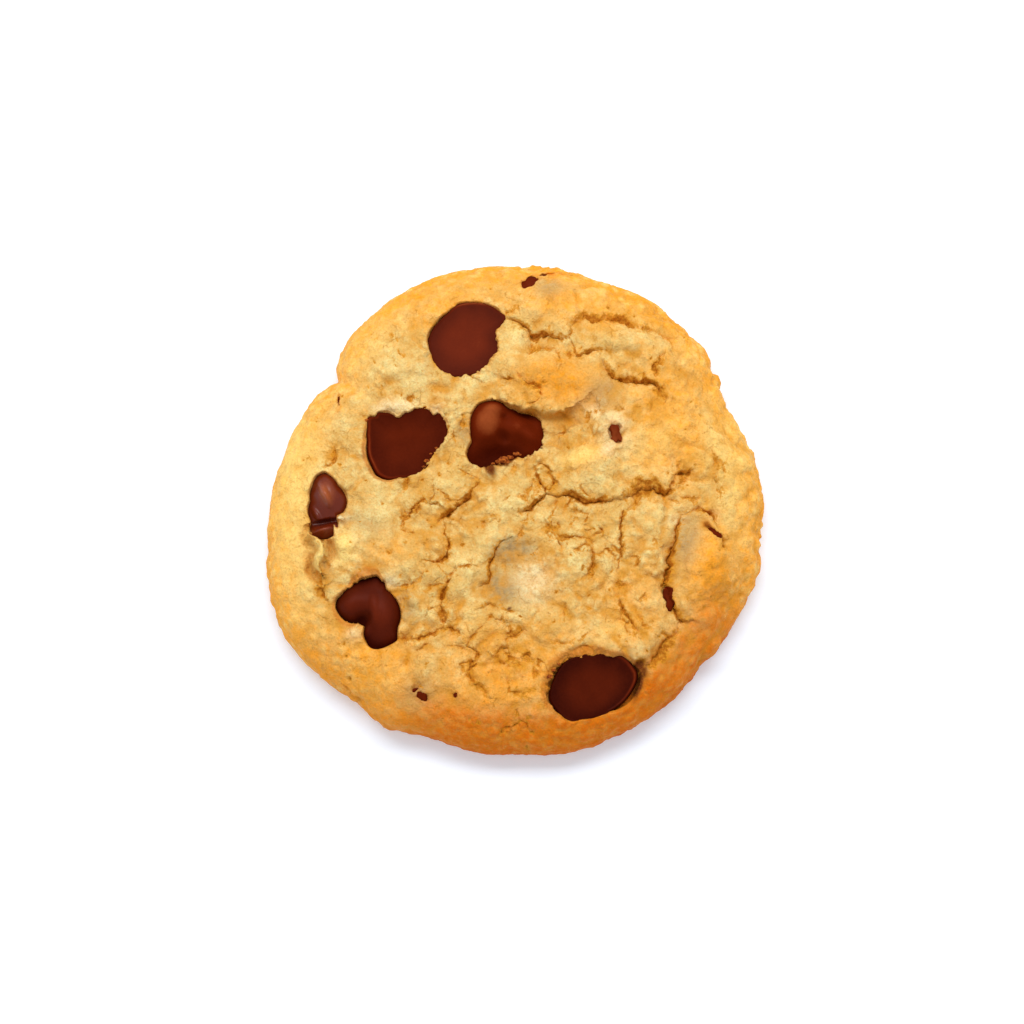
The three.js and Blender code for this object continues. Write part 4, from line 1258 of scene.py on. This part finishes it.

# %% [markdown]
# ### Baked crust
# Wheat dough with butter and brown sugar, baked dry: matt, a little waxy where sugar melted. Light goes a
# millimetre into it, which softens small shadows. The colour runs from straw in the middle of the top over
# gold at the edge to brown at the foot, and tears show the darker sugary crumb below. The brown at the foot
# and on the near side is partly painted shade. Hairline splits and pores are too fine for the mesh, so they
# are drawn and dented here, at their real size, and darkened as painted shade. Creases, pebble gaps, dips of
# the grain and hollows get painted shade too, and pebble tops, grain specks, rims, lumps and the strand get
# painted light.

# %% Crust colours and masks
CRUMB_STRAW = "#d8b064"
CRUMB_PALE = "#e8d28e"
CRUMB_TORN = "#a0560a"
CRUMB_GREY = "#a48a60"
CRUMB_WHITE = "#f0dcaa"
CRUST_GOLD = "#fca62e"
# colour of painted light on pebble tops, rims, lumps and the strand
CRUST_PAINTED_LIGHT = "#ffdc82"
CRUST_TAN = "#d86e08"
CRUST_BROWN = "#bc5406"
CRUST_WALL = "#c4701c"
# colour of painted shade in creases, dips, pebble gaps, grain dents and beside tears
CRUST_CREASE_SHADE = "#d08c22"
# colour of painted shade in hollows, furrows, under the overhang, and in splits and pores
CRUST_HOLLOW_SHADE = "#c07a10"
SMEARED = "#6b3310"
CRUST_GRAINS = {  # size in millimetres, detail and roughness
    "blotch": (5.0, 3.0, 0.5),
    "mottle": (1.3, 3.0, 0.6),
    "speck": (0.3, 2.0, 0.6),
    "ragged": (0.42, 2.0, 0.6),
    "patch of splits": (4.0, 1.0, 0.5),
}
FRAY = 0.3  # how far a grain shifts the edge of a mask

crust, tree = new_material("baked_crust")
place = add(tree, "ShaderNodeTexCoord").outputs["Object"]
mask = grains_of(tree, place, CRUST_GRAINS)
for name in (*PATCHES, "tear", "crease", "pit", "wall", "edge", "hot_side", "foot"):
    attribute = add(tree, "ShaderNodeAttribute", attribute_name=name, attribute_type="GEOMETRY")
    mask[name] = attribute.outputs["Fac"]


def frayed(one, other, grain):
    """The stronger of two masks, with an edge that a grain makes ragged."""
    both = add(tree, "ShaderNodeMath", {0: one, 1: other}, operation="MAXIMUM").outputs[0]
    shift = share_where(tree, (grain, 0.3, 0.7, -FRAY, FRAY))
    return add(tree, "ShaderNodeMath", {0: both, 1: shift}, operation="ADD").outputs[0]


mask["gilded"] = frayed(mask["gold"], mask["edge"], mask["mottle"])
mask["torn"] = frayed(mask["tear"], mask["pit"], mask["ragged"])
print("masks:", ", ".join(mask))


# %% Splits, pores and pebbles
def twisted(far_mm, size_mm):
    """Object coordinates pushed about by noise, so that straight lines come out jagged."""
    inputs = {"Vector": place, "Scale": 1 / (size_mm * MM), "Detail": 2.0}
    push = add(tree, "ShaderNodeTexNoise", inputs).outputs["Color"]
    push = add(tree, "ShaderNodeVectorMath", {0: push, 1: (0.5, 0.5, 0.5)}, operation="SUBTRACT").outputs[0]
    push = add(tree, "ShaderNodeVectorMath", {0: push, 3: far_mm * MM}, operation="SCALE").outputs[0]
    return add(tree, "ShaderNodeVectorMath", {0: place, 1: push}, operation="ADD").outputs[0]


def splits(size_mm, widest_mm, strength):
    """Torn lines between crumbs of a size. They come and go, and get wider and narrower on the way."""
    inputs = {"Vector": twisted(0.4 * size_mm, 0.5 * size_mm), "Scale": 1 / (size_mm * MM)}
    cells = add(tree, "ShaderNodeTexVoronoi", inputs, feature="DISTANCE_TO_EDGE", voronoi_dimensions="2D")
    along = grains_of(tree, place, {"width": (0.5 * size_mm, 1.0, 0.5)})["width"]
    width = share_where(tree, (along, 0.45, 0.65, 0.0, widest_mm / size_mm))
    inputs = {0: cells.outputs["Distance"], 1: width}
    away = add(tree, "ShaderNodeMath", inputs, operation="SUBTRACT").outputs[0]
    return share_where(tree, (away, -0.12 / size_mm, 0.03 / size_mm, strength, 0.0))


PEBBLE_MM = 1.5
PORE_MM = 0.75
crumbly = [(mask["edge"], 0.2, 0.9, 1.0, 0.4), (mask["smooth"], 0.0, 1.0, 1.0, 0.15)]
coarse_and_fine = {0: splits(3.2, 0.16, 1.0), 1: splits(1.5, 0.08, 0.7)}
lines = add(tree, "ShaderNodeMath", coarse_and_fine, operation="MAXIMUM").outputs[0]
lines = share_where(tree, (lines,), (mask["patch of splits"], 0.46, 0.6))
pores = grains_of(tree, twisted(0.8, 0.4), {"pore": (PORE_MM, 1.0, 0.5)})["pore"]
pores = share_where(tree, (pores, 0.7, 0.76))
fine = add(tree, "ShaderNodeMath", {0: lines, 1: pores}, operation="MAXIMUM").outputs[0]
mask["fine"] = share_where(tree, (fine,), *crumbly)
inputs = {"Vector": twisted(0.6, 1.0), "Scale": 1 / (PEBBLE_MM * MM), "Smoothness": 0.4}
pebble = add(tree, "ShaderNodeTexVoronoi", inputs, feature="SMOOTH_F1").outputs["Distance"]
mask["pebble"] = share_where(tree, (pebble, 0.15, 0.55, 1.0, 0.0))
print("splits, pores and pebbles drawn")

# %% Coats of the crust
crust_coats = [  # colour, then its masks: socket, range read, and what the range becomes
    (CRUMB_PALE, (mask["blotch"], 0.3, 0.62)),
    (CRUST_GOLD, (mask["gilded"],)),
    # painted highlight on the tops of the pebbles
    (CRUST_PAINTED_LIGHT, (mask["pebble"],), (mask["blotch"], 0.4, 0.56, 0.1, 0.65), (mask["edge"],)),
    # painted shade in the gaps between pebbles
    (CRUST_CREASE_SHADE, (mask["pebble"], 0.35, 0.0, 0.0, 0.25), *crumbly),
    # painted light on rims, lumps and the strand
    (CRUST_PAINTED_LIGHT, (mask["butter"],), (mask["mottle"], 0.35, 0.6, 1.0, 0.6)),
    # browning, and painted shade on the near side
    (CRUST_TAN, (mask["hot_side"],), (mask["edge"], 0.0, 0.5, 0.15, 1.0),
     (mask["mottle"], 0.3, 0.75, 0.7, 1.2)),
    # browning, and painted shade at the foot of the edge
    (CRUST_BROWN, (mask["foot"],), (mask["blotch"], 0.3, 0.7, 0.5, 1.0)),
    (CRUMB_WHITE, (mask["pale"],)),
    (CRUMB_GREY, (mask["grey"],), (mask["mottle"], 0.3, 0.7, 0.6, 1.1)),
    # painted shade in the creases between lumps
    (CRUST_CREASE_SHADE, (mask["crease"], 0.0, 1.0, 0.0, 0.85)),
    # painted shade in hollows, furrows and under the overhang
    (CRUST_HOLLOW_SHADE, (mask["hollow"], 0.0, 1.0, 0.0, 0.8)),
    (CRUST_WALL, (mask["wall"], 0.0, 1.0, 0.0, 0.7)),
    # painted shade in the dip beside a tear and round a pit
    (CRUST_CREASE_SHADE, (mask["torn"], 0.2, 0.6, 0.0, 0.85)),
    (CRUMB_TORN, (mask["torn"], 0.6, 1.0, 0.0, 0.85)),
    # painted shade in splits and pores
    (CRUST_HOLLOW_SHADE, (mask["fine"], 0.0, 1.0, 0.0, 0.45)),
    # painted shade in the dips of the grain
    (CRUST_CREASE_SHADE, (mask["mottle"], 0.5, 0.3, 0.0, 0.35)),
    (SMEARED, (mask["smear"],)),
    # painted shade in the dents of the finest grain
    (CRUST_CREASE_SHADE, (mask["speck"], 0.48, 0.3, 0.0, 0.32)),
]
colour = in_coats(tree, CRUMB_STRAW, crust_coats)
# painted glints on the tops of the finest grain
shine = share_where(tree, (mask["speck"], 0.45, 0.75, 1.0, 1.16))
shine = add(tree, "ShaderNodeCombineColor", {0: shine, 1: shine, 2: shine}).outputs[0]
lightened = {0: 1.0, 6: colour, 7: shine}
colour = add(tree, "ShaderNodeMix", lightened, data_type="RGBA", blend_type="MULTIPLY").outputs[2]
print(len(crust_coats), "coats on the crust")

# %% Crust material
FINE_RELIEF = {"speck": 0.55, "mottle": 0.7, "pebble": 0.6, "fine": -0.3}
fine_height = 0.0
for name, strength in FINE_RELIEF.items():
    inputs = {0: mask[name], 1: strength, 2: fine_height}
    fine_height = add(tree, "ShaderNodeMath", inputs, operation="MULTIPLY_ADD").outputs[0]
bump = add(tree, "ShaderNodeBump", {"Height": fine_height, "Strength": 0.8, "Distance": 0.34 * MM})
crust_shader = add(tree, "ShaderNodeBsdfPrincipled", {
    "Base Color": colour,
    "Roughness": share_where(tree, (mask["mottle"], 0.3, 0.7, 0.55, 0.8)),
    "IOR": 1.45,
    "Specular IOR Level": 0.1,
    "Subsurface Weight": 0.08,
    "Subsurface Radius": (1.0, 0.5, 0.2),
    "Subsurface Scale": 1.0 * MM,
    "Normal": bump.outputs[0],
})
add(tree, "ShaderNodeOutputMaterial", {"Surface": crust_shader.outputs[0]})
dough.data.materials.clear()
dough.data.materials.append(crust)
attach(dough, "root")
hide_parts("dough")
print("crust on", dough.name)

# %% [markdown]
# ### Toasted crumbs
# The same dough, thin enough to have browned through and soaked up some chocolate: dull, brown and grainy.
# It could share the crust's material, but a crumb has none of the crust's attributes, so it gets two tones of
# one grain.

# %% Crumb material
BIT_LIGHT = "#b8621e"
BIT_DARK = "#6e2a08"

toasted, tree = new_material("toasted_crumb")
place = add(tree, "ShaderNodeTexCoord").outputs["Object"]
grit = grains_of(tree, place, {"grit": (0.3, 2.0, 0.6)})["grit"]
bump = add(tree, "ShaderNodeBump", {"Height": grit, "Strength": 0.8, "Distance": 0.1 * MM})
bit_shader = add(tree, "ShaderNodeBsdfPrincipled", {
    "Base Color": in_coats(tree, BIT_DARK, [(BIT_LIGHT, (grit, 0.35, 0.65))]),
    "Roughness": 0.75,
    "Specular IOR Level": 0.15,
    "Normal": bump.outputs[0],
})
add(tree, "ShaderNodeOutputMaterial", {"Surface": bit_shader.outputs[0]})
for bit in bits:
    bit.data.materials.clear()
    bit.data.materials.append(toasted)
print("toasted", len(bits), "crumbs")

# %% [markdown]
# ### Set chocolate
# Dark milk chocolate that melted and set again: cocoa butter gives a soft sheen. Raised parts of a chip that
# melted right through bloomed, and look milky and dull; their lighter tone is also painted light, and the
# darker tone of low parts is painted shade. A flat chip is darker towards its rim, as painted shade, with a
# painted highlight along the stretch of rim that catches light. One that kept its form is glossier. One
# material serves all the chips, because each chip's mesh says how light and how glossy it is.

# %% Chocolate material
CHOCOLATE_DARK = "#300500"
CHOCOLATE_PLAIN = "#671f06"
# milky bloom, and painted light on raised parts and rims
CHOCOLATE_MILKY_AND_LIT = "#ac582c"
DUSTING = 0.03  # how far the finest grain shifts the tone

chocolate, tree = new_material("set_chocolate")
place = add(tree, "ShaderNodeTexCoord").outputs["Object"]
tone = add(tree, "ShaderNodeAttribute", attribute_name="tone").outputs["Fac"]
gloss = add(tree, "ShaderNodeAttribute", attribute_name="gloss").outputs["Fac"]
dust = grains_of(tree, place, {"dust": (0.35, 3.0, 0.6)})["dust"]
shift = share_where(tree, (dust, 0.3, 0.7, -DUSTING, DUSTING))
tone = add(tree, "ShaderNodeMath", {0: tone, 1: shift}, operation="ADD").outputs[0]
tones = [(CHOCOLATE_PLAIN, (tone, 0.0, 0.5)), (CHOCOLATE_MILKY_AND_LIT, (tone, 0.5, 1.0))]
bump = add(tree, "ShaderNodeBump", {"Height": dust, "Strength": 0.2, "Distance": 0.05 * MM})
chocolate_shader = add(tree, "ShaderNodeBsdfPrincipled", {
    "Base Color": in_coats(tree, CHOCOLATE_DARK, tones),
    "Roughness": share_where(tree, (gloss, 0.0, 1.0, 0.65, 0.28)),
    "IOR": 1.5,
    "Specular IOR Level": share_where(tree, (gloss, 0.2, 1.0, 0.02, 0.4)),
    "Normal": bump.outputs[0],
})
add(tree, "ShaderNodeOutputMaterial", {"Surface": chocolate_shader.outputs[0]})
for chip in chips.values():
    chip.data.materials.clear()
    chip.data.materials.append(chocolate)
print("chocolate on", len(chips), "chips")

# %% [markdown]
# ## Floor and light
# A plain white floor and a white room fill every shadow. One long soft light, high and a little behind the
# cookie, lights the top and lets the near edge fall into its own shade, as the photo shows it. A smaller lamp
# would give the tears hard black edges.

# %% Floor and light
FLOOR_SIZE = 3
FLOOR_WHITE = "#e4eefa"
# The floor glows faintly: painted light that keeps it white and lightens the shadow on it.
FLOOR_GLOW = "#f4f6ff"
FLOOR_GLOW_STRENGTH = 0.23
ROOM_WHITE = "#fffdfa"
ROOM_STRENGTH = 0.62
KEY_FROM = Vector((-0.03, 0.43, 0.88))
KEY_AWAY = 0.6
KEY_SIZE = (0.6, 0.2)
KEY_WATTS = 2.7

nothing_selected()
bpy.ops.mesh.primitive_plane_add(size=FLOOR_SIZE)
floor = bpy.context.object
floor.name = "floor"
white, tree = new_material("white_paper")
floor_shader = add(tree, "ShaderNodeBsdfPrincipled", {
    "Base Color": linear(FLOOR_WHITE),
    "Roughness": 0.9,
    "Emission Color": linear(FLOOR_GLOW),
    "Emission Strength": FLOOR_GLOW_STRENGTH,
})
add(tree, "ShaderNodeOutputMaterial", {"Surface": floor_shader.outputs[0]})
floor.data.materials.append(white)

world = bpy.data.worlds.new("white_room")
world.use_nodes = True
world.node_tree.nodes["Background"].inputs[0].default_value = linear(ROOM_WHITE)
world.node_tree.nodes["Background"].inputs[1].default_value = ROOM_STRENGTH
bpy.context.scene.world = world

key = bpy.data.objects.new("key_light", bpy.data.lights.new("key_light", "AREA"))
bpy.context.scene.collection.objects.link(key)
key.data.shape = "RECTANGLE"
key.data.size, key.data.size_y = KEY_SIZE
key.data.energy = KEY_WATTS
key.location = KEY_FROM.normalized() * KEY_AWAY
key.rotation_mode = "QUATERNION"
key.rotation_quaternion = (-KEY_FROM).to_track_quat("-Z", "Y")
bpy.context.scene.view_settings.view_transform = "Standard"
print("lit")
